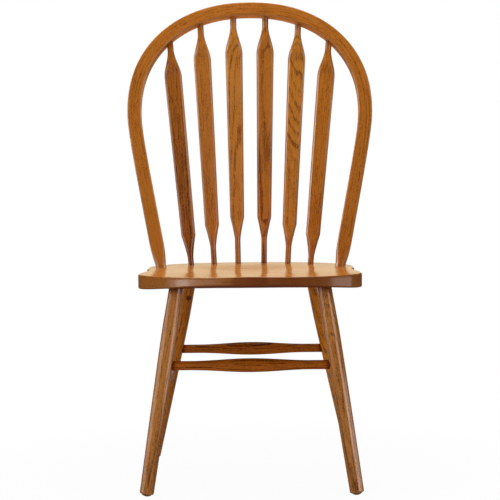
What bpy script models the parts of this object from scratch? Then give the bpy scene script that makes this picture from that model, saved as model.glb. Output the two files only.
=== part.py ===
"""Arrow back dining chair.

A scooped plank seat stands on four turned legs that four stretchers tie together. A bent hoop rises from
the seat and holds six flat arrow spindles. Every joint is a round tenon in a blind socket, with a glue gap.

Lengths are in metres, +X is to the right of someone facing the chair, +Y to its back and +Z up.
Plan positions are measured from the middle of the seat's front edge, and heights from the floor.
"""

import math

import bmesh
import bpy
import numpy as np
from mathutils import Matrix, Vector

# Fits
JOINT_GAP = 0.0003
CUTTER_OVERRUN = 0.012
SOCKET_SIDES = 20

# Seat plan: a bowed front, sides that draw in to a notch, ears under the hoop and a D-shaped back
SEAT_HEIGHT = 0.4545
SEAT_THICKNESS = 0.029
SEAT_DEPTH = 0.418
SEAT_FRONT_HALF_WIDTH = 0.229
SEAT_FRONT_BOW = 0.072
SEAT_FRONT_FULLNESS = 2.35
SEAT_NOTCH_HALF_WIDTH = 0.2155
SEAT_NOTCH_RUN = 0.022
SEAT_EAR_HALF_WIDTH = 0.2215
SEAT_EAR_LENGTH = 0.060
SEAT_REAR_CURVE = 0.158
SEAT_REAR_FULLNESS = 2.4

# Seat section: eased edges, a saddle hollow, a dipped front edge with a pommel, a relieved front underside
SEAT_TOP_EASE = 0.002
SEAT_BOTTOM_ROUND = 0.007
SADDLE_DEPTH = 0.009
SADDLE_HALF_WIDTH = 0.178
SADDLE_HALF_LENGTH = 0.152
SADDLE_BACK = 0.208
FRONT_DIP = 0.0030
FRONT_DIP_RUN = 0.110
POMMEL_RISE = 0.0014
POMMEL_WIDTH = 0.040
FRONT_RELIEF = 0.0095
FRONT_RELIEF_RUN = 0.065
SEAT_CORNER_POINTS = 12
SEAT_SIDE_POINTS = 9
SEAT_ROUND_STATIONS = 4
SEAT_TOP_RINGS = (0.04, 0.22, 0.42, 0.60, 0.75, 0.88)
SEAT_UNDER_RINGS = (0.82, 0.04)

# Hoop, in its own leaning plane that stands on the seat between its two feet
HOOP_FOOT_FROM_SIDE = 0.028
HOOP_FOOT_FROM_NOTCH = 0.059
HOOP_RECLINE = math.radians(18.0)
HOOP_HALF_WIDTH = 0.2565
HOOP_WIDEST_HEIGHT = 0.359
HOOP_CROWN_RISE = 0.239
HOOP_CROWN_FULLNESS = 2.19
HOOP_SIDE_BEND = 0.0465
HOOP_FACE = 0.0305
HOOP_THICKNESS = 0.0245
HOOP_EDGE_RADIUS = 0.0025
HOOP_END_DIAMETER = 0.022
HOOP_PLAIN_FOOT = 0.006
HOOP_WHITTLE_LENGTH = 0.050
HOOP_WHITTLE_STATIONS = 4
HOOP_TENON = 0.018
HOOP_STATIONS = 49
HOOP_LINE_POINTS = 200

# Arrow spindles, listed from the middle of the back outwards
SPINDLE_FOOT_HALF_SPACINGS = (0.0290, 0.0820, 0.1315)
SPINDLE_TIP_HALF_SPACINGS = (0.0365, 0.1112, 0.1804)
SPINDLE_SHOULDER_HEIGHTS = (0.104, 0.088, 0.068)
SPINDLE_ROW_FROM_REAR = 0.037
SPINDLE_ROW_BOW = 0.057
SPINDLE_FOOT_TENON = 0.013
SPINDLE_FOOT_DIAMETER = 0.0125
SPINDLE_TOP_DIAMETER = 0.0140
SPINDLE_NECK_PLAIN = 0.020
SPINDLE_NECK_FLARE = 0.063
SPINDLE_TAIL_TAPER = 0.050
SPINDLE_TAIL_POWER = 1.25
SPINDLE_TAIL_STATIONS = 6
SPINDLE_NECK_STATIONS = 8
ARROW_TOP_WIDTH = 0.0390
ARROW_SHOULDER_WIDTH = 0.0313
ARROW_THICKNESS = 0.0125
ARROW_EDGE_RADIUS = 0.0050

# Legs: where each axis meets the seat's underside, and how far it splays and rakes on its way to the floor
FRONT_LEG_TOP_FROM_SIDE = 0.0762
FRONT_LEG_TOP_FROM_FRONT = 0.0930
FRONT_LEG_SPLAY = 0.0636
FRONT_LEG_RAKE = 0.0447
BACK_LEG_TOP_FROM_SIDE = 0.0863
BACK_LEG_TOP_FROM_REAR = 0.0727
BACK_LEG_SPLAY = 0.0947
BACK_LEG_RAKE = 0.1258
LEG_TENON = 0.015
LEG_TOP_DIAMETER = 0.0290
LEG_SWELL_DIAMETER = 0.0330
LEG_FOOT_DIAMETER = 0.0290
LEG_SWELL_DROP = 0.105
LEG_FOOT_CHAMFER = 0.0025
LEG_SIDES = 20
LEG_TAPER_STATIONS = 6
LEG_TOP_STATIONS = 5

# Stretchers
FRONT_STRETCHER_HEIGHT = 0.2650
REAR_STRETCHER_DROP = 0.004
SIDE_STRETCHER_DROP = 0.044
STRETCHER_END_DIAMETER = 0.0190
STRETCHER_MIDDLE_DIAMETER = 0.0287
STRETCHER_PLAIN_END = 0.052
STRETCHER_AXIS_STOP = 0.001
STRETCHER_SIDES = 16
STRETCHER_STATIONS = 11

# Nailed glides under the feet
GLIDE_DIAMETER = 0.020
GLIDE_HEIGHT = 0.005
GLIDE_RIM = 0.0015
GLIDE_WORN_FLAT = 0.0005
GLIDE_NAIL_DIAMETER = 0.003
GLIDE_NAIL_LENGTH = 0.014
GLIDE_SIDES = 16
GLIDE_DOME_STATIONS = 6
GLIDE_TIP_SHARE = 0.12

# Plan places that follow from the sizes above
SEAT_REAR_START = SEAT_DEPTH - SEAT_REAR_CURVE
SEAT_NOTCH_BACK = SEAT_REAR_START - SEAT_EAR_LENGTH
HOOP_FOOT_HALF_SPACING = SEAT_EAR_HALF_WIDTH - HOOP_FOOT_FROM_SIDE
HOOP_FOOT_BACK = SEAT_NOTCH_BACK + HOOP_FOOT_FROM_NOTCH

# Finishes: colour, roughness, metallic
SEAT_FINISH = ((0.50, 0.24, 0.075), 0.30, 0.0)
HOOP_FINISH = ((0.43, 0.18, 0.045), 0.32, 0.0)
LEG_FINISH = ((0.30, 0.12, 0.030), 0.30, 0.0)
STRETCHER_FINISH = ((0.26, 0.095, 0.022), 0.32, 0.0)
GLIDE_FINISH = ((0.09, 0.085, 0.08), 0.45, 0.0)
SPINDLE_COLOURS = (
    (0.30, 0.115, 0.028),
    (0.38, 0.155, 0.040),
    (0.37, 0.150, 0.038),
    (0.39, 0.160, 0.042),
    (0.36, 0.150, 0.042),
    (0.34, 0.135, 0.034),
)
SPINDLE_ROUGHNESS = 0.32
SMOOTH_ANGLE = math.radians(35.0)


def ease(share):
    """Smooth step from 0 to 1 over a share that is held between 0 and 1."""
    share = np.clip(share, 0.0, 1.0)
    return share * share * (3.0 - 2.0 * share)


def clear_scene():
    """Remove every object that is already in the scene."""
    for old in list(bpy.data.objects):
        bpy.data.objects.remove(old, do_unlink=True)


def make_finish(name, colour, roughness, metallic):
    """A Principled material of one colour."""
    finish = bpy.data.materials.new(name)
    finish.use_nodes = True
    shader = finish.node_tree.nodes["Principled BSDF"]
    shader.inputs["Base Color"].default_value = (*colour, 1.0)
    shader.inputs["Roughness"].default_value = roughness
    shader.inputs["Metallic"].default_value = metallic
    return finish


def add_piece(name, solid, chair, placing, finish=None):
    """Turn a bmesh into a named object under the chair; a piece with no finish is a hidden cutter."""
    bmesh.ops.recalc_face_normals(solid, faces=solid.faces)
    mesh = bpy.data.meshes.new(name)
    solid.to_mesh(mesh)
    solid.free()
    piece = bpy.data.objects.new(name, mesh)
    bpy.context.scene.collection.objects.link(piece)
    piece.parent = chair
    piece.matrix_basis = placing
    if finish is None:
        piece.hide_render = True
        piece.display_type = "WIRE"
    else:
        mesh.materials.append(make_finish(name + "_finish", *finish))
        mesh.shade_smooth()
        mesh.set_sharp_from_angle(angle=SMOOTH_ANGLE)
    return piece


def cut_sockets(piece, cutter):
    """Take the cutter's shape out of a piece."""
    cut = piece.modifiers.new("sockets", "BOOLEAN")
    cut.operation = "DIFFERENCE"
    cut.solver = "EXACT"
    cut.object = cutter


def frame_along(start, end):
    """Placing at start whose local Z runs to end; local Y is to the back, or up on a side stretcher."""
    along = (Vector(end) - Vector(start)).normalized()
    runs_back = abs(along.y) > math.cos(math.pi / 4.0)
    reference = Vector((0.0, 0.0, 1.0)) if runs_back else Vector((0.0, 1.0, 0.0))
    across = reference.cross(along).normalized()
    turn = Matrix((across, along.cross(across), along)).transposed()
    return Matrix.Translation(Vector(start)) @ turn.to_4x4()


def add_loft(solid, rings):
    """Skin a list of closed rings with quads and close both ends."""
    loops = [[solid.verts.new(point) for point in ring] for ring in rings]
    count = len(loops[0])
    for lower, upper in zip(loops, loops[1:]):
        for k in range(count):
            after = (k + 1) % count
            solid.faces.new((lower[k], lower[after], upper[after], upper[k]))
    solid.faces.new(list(reversed(loops[0])))
    solid.faces.new(loops[-1])


def add_turning(solid, profile, sides, placing=Matrix.Identity(4)):
    """Turn a profile of (radius, height) pairs about local Z, with a flat face at each end."""
    angles = [2.0 * math.pi * k / sides for k in range(sides)]
    rings = []
    for radius, height in profile:
        ring = [Vector((radius * math.cos(a), radius * math.sin(a), height)) for a in angles]
        rings.append([placing @ point for point in ring])
    add_loft(solid, rings)


def add_socket(solid, placing, diameter, low, high, sides=SOCKET_SIDES):
    """A round cutter between two heights of a tenon's own frame, wider than the tenon by the joint gap."""
    radius = diameter / 2.0 + JOINT_GAP
    add_turning(solid, [(radius, low), (radius, high)], sides, placing)


def rounded_section(width, thickness, edge_radius, roundness, end_diameter):
    """Sixteen points of a rounded rectangle, changed towards a circle as roundness goes from 0 to 1."""
    points = []
    for corner in range(4):
        quarter = math.pi / 2.0 * corner
        sign_x = 1.0 if corner in (0, 3) else -1.0
        sign_y = 1.0 if corner in (0, 1) else -1.0
        centre = Vector((sign_x * (width / 2.0 - edge_radius), sign_y * (thickness / 2.0 - edge_radius)))
        for step in range(4):
            on_edge = quarter + math.pi / 6.0 * step
            on_circle = quarter + math.pi / 8.0 * (step + 0.5)
            flat = centre + edge_radius * Vector((math.cos(on_edge), math.sin(on_edge)))
            circle = end_diameter / 2.0 * Vector((math.cos(on_circle), math.sin(on_circle)))
            points.append(flat.lerp(circle, roundness))
    return points


def seat_half_outline():
    """Right half of the seat's plan from the front edge's middle to the rear edge's middle."""
    turn = np.linspace(0.0, math.pi / 2.0, SEAT_CORNER_POINTS)
    front_x = SEAT_FRONT_HALF_WIDTH * np.sin(turn) ** (2.0 / SEAT_FRONT_FULLNESS)
    front_y = SEAT_FRONT_BOW * (1.0 - np.cos(turn) ** (2.0 / SEAT_FRONT_FULLNESS))
    side_y = np.linspace(SEAT_FRONT_BOW, SEAT_REAR_START, SEAT_SIDE_POINTS + 2)[1:-1]
    drawn_in = ease((side_y - SEAT_FRONT_BOW) / (SEAT_NOTCH_BACK - SEAT_FRONT_BOW))
    flared = ease((side_y - SEAT_NOTCH_BACK) / SEAT_NOTCH_RUN)
    side_x = SEAT_FRONT_HALF_WIDTH + (SEAT_NOTCH_HALF_WIDTH - SEAT_FRONT_HALF_WIDTH) * drawn_in
    side_x = side_x + (SEAT_EAR_HALF_WIDTH - SEAT_NOTCH_HALF_WIDTH) * flared
    rear_x = SEAT_EAR_HALF_WIDTH * np.cos(turn) ** (2.0 / SEAT_REAR_FULLNESS)
    rear_y = SEAT_REAR_START + SEAT_REAR_CURVE * np.sin(turn) ** (2.0 / SEAT_REAR_FULLNESS)
    across = np.concatenate([front_x, side_x, rear_x])
    back = np.concatenate([front_y, side_y, rear_y])
    across[0] = 0.0
    across[-1] = 0.0
    return np.stack([across, back], axis=1)


def seat_outline():
    """The whole plan, anticlockwise from the front edge's middle, with each point's inward normal."""
    right = seat_half_outline()
    left = right[-2:0:-1] * (-1.0, 1.0)
    outline = np.concatenate([right, left])
    along = np.roll(outline, -1, axis=0) - np.roll(outline, 1, axis=0)
    along = along / np.linalg.norm(along, axis=1, keepdims=True)
    inward = np.stack([-along[:, 1], along[:, 0]], axis=1)
    return outline, inward


def seat_top(plan):
    """Height of the seat's top at plan points, below its rim: a saddle hollow and a dipped front edge."""
    across = plan[:, 0]
    back = plan[:, 1]
    reach = (across / SADDLE_HALF_WIDTH) ** 2 + ((back - SADDLE_BACK) / SADDLE_HALF_LENGTH) ** 2
    hollow = np.clip(1.0 - reach, 0.0, 1.0) ** 2
    near_front = 1.0 - ease(back / FRONT_DIP_RUN)
    between_corners = np.clip(1.0 - (across / SEAT_FRONT_HALF_WIDTH) ** 4, 0.0, 1.0)
    pommel = np.exp(-((across / POMMEL_WIDTH) ** 2))
    front_edge = FRONT_DIP * between_corners - POMMEL_RISE * pommel
    return -SADDLE_DEPTH * hollow - front_edge * near_front


def seat_underside(plan):
    """Height of the seat's underside at plan points: flat, but rising to a thinner front edge."""
    across = plan[:, 0]
    near_front = 1.0 - ease(plan[:, 1] / FRONT_RELIEF_RUN)
    arch = np.clip(1.0 - (across / SEAT_FRONT_HALF_WIDTH) ** 2, 0.0, 1.0)
    return -SEAT_THICKNESS + FRONT_RELIEF * arch * near_front


def seat_solid():
    """Rings of the outline from the middle out over the top, down the edge and in under the seat."""
    outline, inward = seat_outline()
    middle = np.array([0.0, SADDLE_BACK])
    top_edge = outline + inward * SEAT_TOP_EASE
    low_edge = outline + inward * SEAT_BOTTOM_ROUND
    rings = []
    for share in SEAT_TOP_RINGS:
        plan = middle + (top_edge - middle) * share
        rings.append(np.column_stack([plan, seat_top(plan)]))
    rings.append(np.column_stack([top_edge, seat_top(top_edge)]))
    rings.append(np.column_stack([outline, seat_top(top_edge) - SEAT_TOP_EASE]))
    for turn in np.linspace(0.0, math.pi / 2.0, SEAT_ROUND_STATIONS):
        plan = outline + inward * SEAT_BOTTOM_ROUND * (1.0 - math.cos(turn))
        height = seat_underside(low_edge) + SEAT_BOTTOM_ROUND * (1.0 - math.sin(turn))
        rings.append(np.column_stack([plan, height]))
    for share in SEAT_UNDER_RINGS:
        plan = middle + (low_edge - middle) * share
        rings.append(np.column_stack([plan, seat_underside(plan)]))
    solid = bmesh.new()
    add_loft(solid, [ring.tolist() for ring in rings])
    return solid


def hoop_side(rise):
    """Half width of the hoop's centre line below its widest height: upright there, straight to the foot."""
    drop = HOOP_WIDEST_HEIGHT - rise
    run = np.sqrt(drop**2 + HOOP_SIDE_BEND**2) - HOOP_SIDE_BEND
    whole_run = math.hypot(HOOP_WIDEST_HEIGHT, HOOP_SIDE_BEND) - HOOP_SIDE_BEND
    return HOOP_HALF_WIDTH - (HOOP_HALF_WIDTH - HOOP_FOOT_HALF_SPACING) * run / whole_run


def hoop_crown(across):
    """Height of the hoop's centre line over its crown, a superellipse that stands on the widest height."""
    share = (abs(across) / HOOP_HALF_WIDTH) ** HOOP_CROWN_FULLNESS
    return HOOP_WIDEST_HEIGHT + HOOP_CROWN_RISE * (1.0 - share) ** (1.0 / HOOP_CROWN_FULLNESS)


def hoop_centre_line():
    """Close points (across, up) from the left tenon's end over the crown to the right tenon's end."""
    rise = np.linspace(-HOOP_TENON, HOOP_WIDEST_HEIGHT, HOOP_LINE_POINTS)
    turn = np.linspace(0.0, math.pi / 2.0, HOOP_LINE_POINTS)[1:]
    crown_x = HOOP_HALF_WIDTH * np.cos(turn) ** (2.0 / HOOP_CROWN_FULLNESS)
    crown_z = HOOP_WIDEST_HEIGHT + HOOP_CROWN_RISE * np.sin(turn) ** (2.0 / HOOP_CROWN_FULLNESS)
    across = np.concatenate([hoop_side(rise), crown_x])
    up = np.concatenate([rise, crown_z])
    across = np.concatenate([-across, across[-2::-1]])
    up = np.concatenate([up, up[-2::-1]])
    return across, up


def hoop_solid():
    """Carry the hoop's section along its centre line, whittled to a round end at each foot."""
    across, up = hoop_centre_line()
    walked = np.concatenate([[0.0], np.cumsum(np.hypot(np.diff(across), np.diff(up)))])
    length = walked[-1]
    round_end = HOOP_TENON + HOOP_PLAIN_FOOT
    whittled = round_end + HOOP_WHITTLE_LENGTH * np.linspace(0.0, 1.0, HOOP_WHITTLE_STATIONS + 1)
    even = np.linspace(whittled[-1], length - whittled[-1], HOOP_STATIONS)[1:-1]
    stops = np.concatenate([[0.0], whittled, even, length - whittled[::-1], [length]])
    line_x = np.interp(stops, walked, across)
    line_z = np.interp(stops, walked, up)
    run_x = np.interp(stops, walked, np.gradient(across, walked))
    run_z = np.interp(stops, walked, np.gradient(up, walked))
    from_end = np.minimum(stops, length - stops)
    squared = np.sin(math.pi / 2.0 * np.clip((from_end - round_end) / HOOP_WHITTLE_LENGTH, 0.0, 1.0))
    rings = []
    for k in range(len(stops)):
        roundness = 1.0 - float(squared[k])
        section = rounded_section(HOOP_FACE, HOOP_THICKNESS, HOOP_EDGE_RADIUS, roundness, HOOP_END_DIAMETER)
        rings.append([(line_x[k] - p.x * run_z[k], p.y, line_z[k] + p.x * run_x[k]) for p in section])
    solid = bmesh.new()
    add_loft(solid, rings)
    return solid


def hoop_placing():
    """The hoop's plane leans back from the line between its feet on the seat."""
    lean = Matrix.Rotation(-HOOP_RECLINE, 4, "X")
    return Matrix.Translation((0.0, HOOP_FOOT_BACK, SEAT_HEIGHT)) @ lean


def hoop_tenon_ends(side):
    """The axis of one hoop foot, from the bottom of its tenon to the seat's rim plane."""
    ends = [Vector((side * float(hoop_side(rise)), 0.0, rise)) for rise in (-HOOP_TENON, 0.0)]
    return [hoop_placing() @ end for end in ends]


def spindle_ends(index, side):
    """A spindle's axis: the bottom of its seat tenon and the tip that stops at the hoop's centre line."""
    foot_x = SPINDLE_FOOT_HALF_SPACINGS[index]
    forward = SPINDLE_ROW_BOW * (foot_x / SPINDLE_FOOT_HALF_SPACINGS[-1]) ** 2
    on_seat = Vector((side * foot_x, SEAT_DEPTH - SPINDLE_ROW_FROM_REAR - forward, SEAT_HEIGHT))
    tip_x = SPINDLE_TIP_HALF_SPACINGS[index]
    tip = hoop_placing() @ Vector((side * tip_x, 0.0, float(hoop_crown(tip_x))))
    along = (tip - on_seat).normalized()
    return on_seat - along * (SPINDLE_FOOT_TENON / along.z), tip


def spindle_solid(length, shoulder_height):
    """An arrow: plain foot, tapered tail, flat paddle that widens upwards, flared neck and plain tip."""
    shoulder = SPINDLE_FOOT_TENON + shoulder_height
    tail = shoulder - SPINDLE_TAIL_TAPER
    flare_top = length - HOOP_FACE / 2.0 - SPINDLE_NECK_PLAIN
    widest = flare_top - SPINDLE_NECK_FLARE
    stations = [(0.0, SPINDLE_FOOT_DIAMETER, 1.0)]
    for share in np.linspace(0.0, 1.0, SPINDLE_TAIL_STATIONS):
        width = SPINDLE_FOOT_DIAMETER
        width += (ARROW_SHOULDER_WIDTH - SPINDLE_FOOT_DIAMETER) * share**SPINDLE_TAIL_POWER
        stations.append((tail + SPINDLE_TAIL_TAPER * share, width, 1.0 - ease(share)))
    stations.append((widest, ARROW_TOP_WIDTH, 0.0))
    for share in np.linspace(0.0, 1.0, SPINDLE_NECK_STATIONS)[1:]:
        width = ARROW_TOP_WIDTH + (SPINDLE_TOP_DIAMETER - ARROW_TOP_WIDTH) * ease(share)
        stations.append((widest + SPINDLE_NECK_FLARE * share, width, ease(share)))
    stations.append((length, SPINDLE_TOP_DIAMETER, 1.0))
    rings = []
    for height, width, roundness in stations:
        section = rounded_section(width, ARROW_THICKNESS, ARROW_EDGE_RADIUS, roundness, width)
        rings.append([(p.x, p.y, height) for p in section])
    solid = bmesh.new()
    add_loft(solid, rings)
    return solid


def leg_axis(is_front, side):
    """Where a leg's axis meets the floor and the seat's underside."""
    top_height = SEAT_HEIGHT - SEAT_THICKNESS
    if is_front:
        top_x = SEAT_FRONT_HALF_WIDTH - FRONT_LEG_TOP_FROM_SIDE
        top = Vector((side * top_x, FRONT_LEG_TOP_FROM_FRONT, top_height))
        foot = top + Vector((side * FRONT_LEG_SPLAY, -FRONT_LEG_RAKE, -top_height))
    else:
        top_x = SEAT_EAR_HALF_WIDTH - BACK_LEG_TOP_FROM_SIDE
        top = Vector((side * top_x, SEAT_DEPTH - BACK_LEG_TOP_FROM_REAR, top_height))
        foot = top + Vector((side * BACK_LEG_SPLAY, BACK_LEG_RAKE, -top_height))
    return foot, top


def point_at_height(axis, height):
    """The point of a leg's axis at one height above the floor."""
    foot, top = axis
    return foot.lerp(top, height / top.z)


def glide_dome_radius():
    """Radius of the sphere under a glide, from its width and its depth below the rim."""
    depth = GLIDE_HEIGHT - GLIDE_RIM
    return ((GLIDE_DIAMETER / 2.0) ** 2 + depth**2) / (2.0 * depth)


def glide_tip(axis):
    """Distance along a leg's axis from the floor to the dome's tip, which the floor has worn flat."""
    foot, top = axis
    upright = (top - foot).normalized().z
    radius = glide_dome_radius()
    return (radius - GLIDE_WORN_FLAT) / upright - radius


def leg_profile(axis):
    """Radius against distance along the axis: chamfered foot, long taper to the swell, top tenon."""
    length = (axis[1] - axis[0]).length
    foot = glide_tip(axis) + GLIDE_HEIGHT + JOINT_GAP
    swell = length - LEG_SWELL_DROP
    foot_radius = LEG_FOOT_DIAMETER / 2.0
    swell_radius = LEG_SWELL_DIAMETER / 2.0
    top_radius = LEG_TOP_DIAMETER / 2.0
    profile = [(foot_radius - LEG_FOOT_CHAMFER, foot)]
    low = foot + LEG_FOOT_CHAMFER
    for share in np.linspace(0.0, 1.0, LEG_TAPER_STATIONS):
        radius = foot_radius + (swell_radius - foot_radius) * math.sin(math.pi / 2.0 * share)
        profile.append((radius, low + (swell - low) * share))
    for share in np.linspace(0.0, 1.0, LEG_TOP_STATIONS)[1:]:
        radius = swell_radius + (top_radius - swell_radius) * ease(share)
        profile.append((radius, swell + LEG_SWELL_DROP * share))
    profile.append((top_radius, length + LEG_TENON))
    return profile


def stretcher_profile(length):
    """Radius against distance along a stretcher: plain ends and a cosine bulge between them."""
    end_radius = STRETCHER_END_DIAMETER / 2.0
    rise = (STRETCHER_MIDDLE_DIAMETER - STRETCHER_END_DIAMETER) / 2.0
    profile = [(end_radius, STRETCHER_AXIS_STOP)]
    half_bulge = length / 2.0 - STRETCHER_PLAIN_END
    for share in np.linspace(-1.0, 1.0, STRETCHER_STATIONS):
        radius = end_radius + rise * math.cos(math.pi / 2.0 * share) ** 2
        profile.append((radius, length / 2.0 + half_bulge * share))
    profile.append((end_radius, length - STRETCHER_AXIS_STOP))
    return profile


def glide_solid(axis):
    """A domed disc with its nail, in the leg's frame, cut level where it meets the floor."""
    tip = glide_tip(axis)
    radius = glide_dome_radius()
    face = tip + GLIDE_HEIGHT
    widest = math.asin(GLIDE_DIAMETER / 2.0 / radius)
    profile = []
    for share in np.linspace(GLIDE_TIP_SHARE, 1.0, GLIDE_DOME_STATIONS):
        turn = widest * share
        profile.append((radius * math.sin(turn), tip + radius * (1.0 - math.cos(turn))))
    profile.append((GLIDE_DIAMETER / 2.0, face))
    profile.append((GLIDE_NAIL_DIAMETER / 2.0, face))
    profile.append((GLIDE_NAIL_DIAMETER / 2.0, face + GLIDE_NAIL_LENGTH))
    solid = bmesh.new()
    add_turning(solid, profile, GLIDE_SIDES)
    to_leg = frame_along(*axis).inverted()
    floor_up = (to_leg.to_3x3() @ Vector((0.0, 0.0, 1.0))).normalized()
    everything = list(solid.verts) + list(solid.edges) + list(solid.faces)
    bmesh.ops.bisect_plane(
        solid, geom=everything, plane_co=(0.0, 0.0, 0.0), plane_no=floor_up, clear_inner=True
    )
    rim = [edge for edge in solid.edges if edge.is_boundary]
    bmesh.ops.contextual_create(solid, geom=rim)
    return solid


def side_name(side):
    """Left and right as seen by someone facing the chair."""
    return "left" if side < 0 else "right"


def build_seat(chair):
    """The plank seat with a socket for every leg, spindle and hoop end."""
    placing = Matrix.Translation((0.0, 0.0, SEAT_HEIGHT))
    seat = add_piece("seat", seat_solid(), chair, placing, SEAT_FINISH)
    sockets = bmesh.new()
    for side in (-1, 1):
        for is_front in (True, False):
            axis = leg_axis(is_front, side)
            length = (axis[1] - axis[0]).length
            end = length + LEG_TENON + JOINT_GAP
            add_socket(sockets, frame_along(*axis), LEG_TOP_DIAMETER, length - CUTTER_OVERRUN, end)
        tenon_end, foot = hoop_tenon_ends(side)
        high = (foot - tenon_end).length + CUTTER_OVERRUN
        add_socket(sockets, frame_along(tenon_end, foot), HOOP_END_DIAMETER, -JOINT_GAP, high)
        for index in range(len(SPINDLE_FOOT_HALF_SPACINGS)):
            placing = frame_along(*spindle_ends(index, side))
            high = SPINDLE_FOOT_TENON + CUTTER_OVERRUN
            add_socket(sockets, placing, SPINDLE_FOOT_DIAMETER, -JOINT_GAP, high)
    cut_sockets(seat, add_piece("seat_sockets", sockets, chair, Matrix.Identity(4)))


def build_hoop(chair):
    """The bent hoop with a socket for every spindle tip."""
    hoop = add_piece("back_hoop", hoop_solid(), chair, hoop_placing(), HOOP_FINISH)
    sockets = bmesh.new()
    for side in (-1, 1):
        for index in range(len(SPINDLE_TIP_HALF_SPACINGS)):
            foot, tip = spindle_ends(index, side)
            length = (tip - foot).length
            low = length - HOOP_FACE / 2.0 - CUTTER_OVERRUN
            add_socket(sockets, frame_along(foot, tip), SPINDLE_TOP_DIAMETER, low, length + JOINT_GAP)
    cut_sockets(hoop, add_piece("hoop_sockets", sockets, chair, Matrix.Identity(4)))


def build_spindles(chair):
    """Six arrow spindles, numbered from the left."""
    last = len(SPINDLE_FOOT_HALF_SPACINGS)
    places = [(index, -1) for index in reversed(range(last))] + [(index, 1) for index in range(last)]
    for number, (index, side) in enumerate(places, start=1):
        foot, tip = spindle_ends(index, side)
        solid = spindle_solid((tip - foot).length, SPINDLE_SHOULDER_HEIGHTS[index])
        finish = (SPINDLE_COLOURS[number - 1], SPINDLE_ROUGHNESS, 0.0)
        add_piece(f"arrow_spindle_{number}", solid, chair, frame_along(foot, tip), finish)


def stretcher_ends():
    """Each stretcher's name with the two points of the leg axes that it runs between."""
    rear_height = FRONT_STRETCHER_HEIGHT - REAR_STRETCHER_DROP
    side_height = FRONT_STRETCHER_HEIGHT - SIDE_STRETCHER_DROP
    front = [point_at_height(leg_axis(True, side), FRONT_STRETCHER_HEIGHT) for side in (-1, 1)]
    rear = [point_at_height(leg_axis(False, side), rear_height) for side in (-1, 1)]
    ends = {"front_stretcher": front, "rear_stretcher": rear}
    for side in (-1, 1):
        pair = [point_at_height(leg_axis(is_front, side), side_height) for is_front in (True, False)]
        ends[side_name(side) + "_stretcher"] = pair
    return ends


def build_stretchers(chair):
    """Four turned stretchers in a box between the legs."""
    for name, (start, end) in stretcher_ends().items():
        solid = bmesh.new()
        add_turning(solid, stretcher_profile((end - start).length), STRETCHER_SIDES)
        add_piece(name, solid, chair, frame_along(start, end), STRETCHER_FINISH)


def build_legs(chair):
    """Four turned legs, each with a socket for its two stretchers and a hole for its glide's nail."""
    ends = stretcher_ends()
    for is_front in (True, False):
        for side in (-1, 1):
            row = "front" if is_front else "back"
            name = f"{row}_leg_{side_name(side)}"
            axis = leg_axis(is_front, side)
            placing = frame_along(*axis)
            solid = bmesh.new()
            profile = leg_profile(axis)
            add_turning(solid, profile, LEG_SIDES)
            leg = add_piece(name, solid, chair, placing, LEG_FINISH)
            sockets = bmesh.new()
            cross = ends["front_stretcher" if is_front else "rear_stretcher"]
            lengthwise = ends[side_name(side) + "_stretcher"]
            cross_end = 0 if side < 0 else 1
            lengthwise_end = 0 if is_front else 1
            for (start, end), near in ((cross, cross_end), (lengthwise, lengthwise_end)):
                length = (end - start).length
                reach = LEG_SWELL_DIAMETER / 2.0 + CUTTER_OVERRUN
                low = STRETCHER_AXIS_STOP - JOINT_GAP if near == 0 else length - reach
                high = reach if near == 0 else length - STRETCHER_AXIS_STOP + JOINT_GAP
                along = frame_along(start, end)
                add_socket(sockets, along, STRETCHER_END_DIAMETER, low, high, STRETCHER_SIDES)
            face = profile[0][1]
            nail_end = face + GLIDE_NAIL_LENGTH
            add_socket(sockets, placing, GLIDE_NAIL_DIAMETER, face - CUTTER_OVERRUN, nail_end, GLIDE_SIDES)
            cut_sockets(leg, add_piece(name + "_sockets", sockets, chair, Matrix.Identity(4)))
            glide_name = f"{row}_glide_{side_name(side)}"
            add_piece(glide_name, glide_solid(axis), chair, placing, GLIDE_FINISH)


def centre_over_origin(chair):
    """Move the whole chair so that the middle of its box stands over the origin."""
    bpy.context.view_layer.update()
    backs = []
    for piece in chair.children:
        if not piece.hide_render:
            backs += [(piece.matrix_world @ vertex.co).y for vertex in piece.data.vertices]
    chair.location.y = -(min(backs) + max(backs)) / 2.0


def build_chair():
    """Make every piece under one empty."""
    clear_scene()
    chair = bpy.data.objects.new("chair", None)
    bpy.context.scene.collection.objects.link(chair)
    build_seat(chair)
    build_hoop(chair)
    build_spindles(chair)
    build_stretchers(chair)
    build_legs(chair)
    centre_over_origin(chair)


build_chair()
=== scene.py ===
# %% [markdown]
# # A golden oak arrow back chair
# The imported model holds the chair's twenty solids, true to size but with few faces. A camera wants more:
# round turnings, soft edges, grain that follows each piece of wood, and a lacquer that catches the lamps.
# This script makes one finished skin for each solid and leaves the solids where they are, so that every
# size and joint stays the one that was packed.

import math

import bpy
import numpy as np
from mathutils import Matrix, Vector


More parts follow.
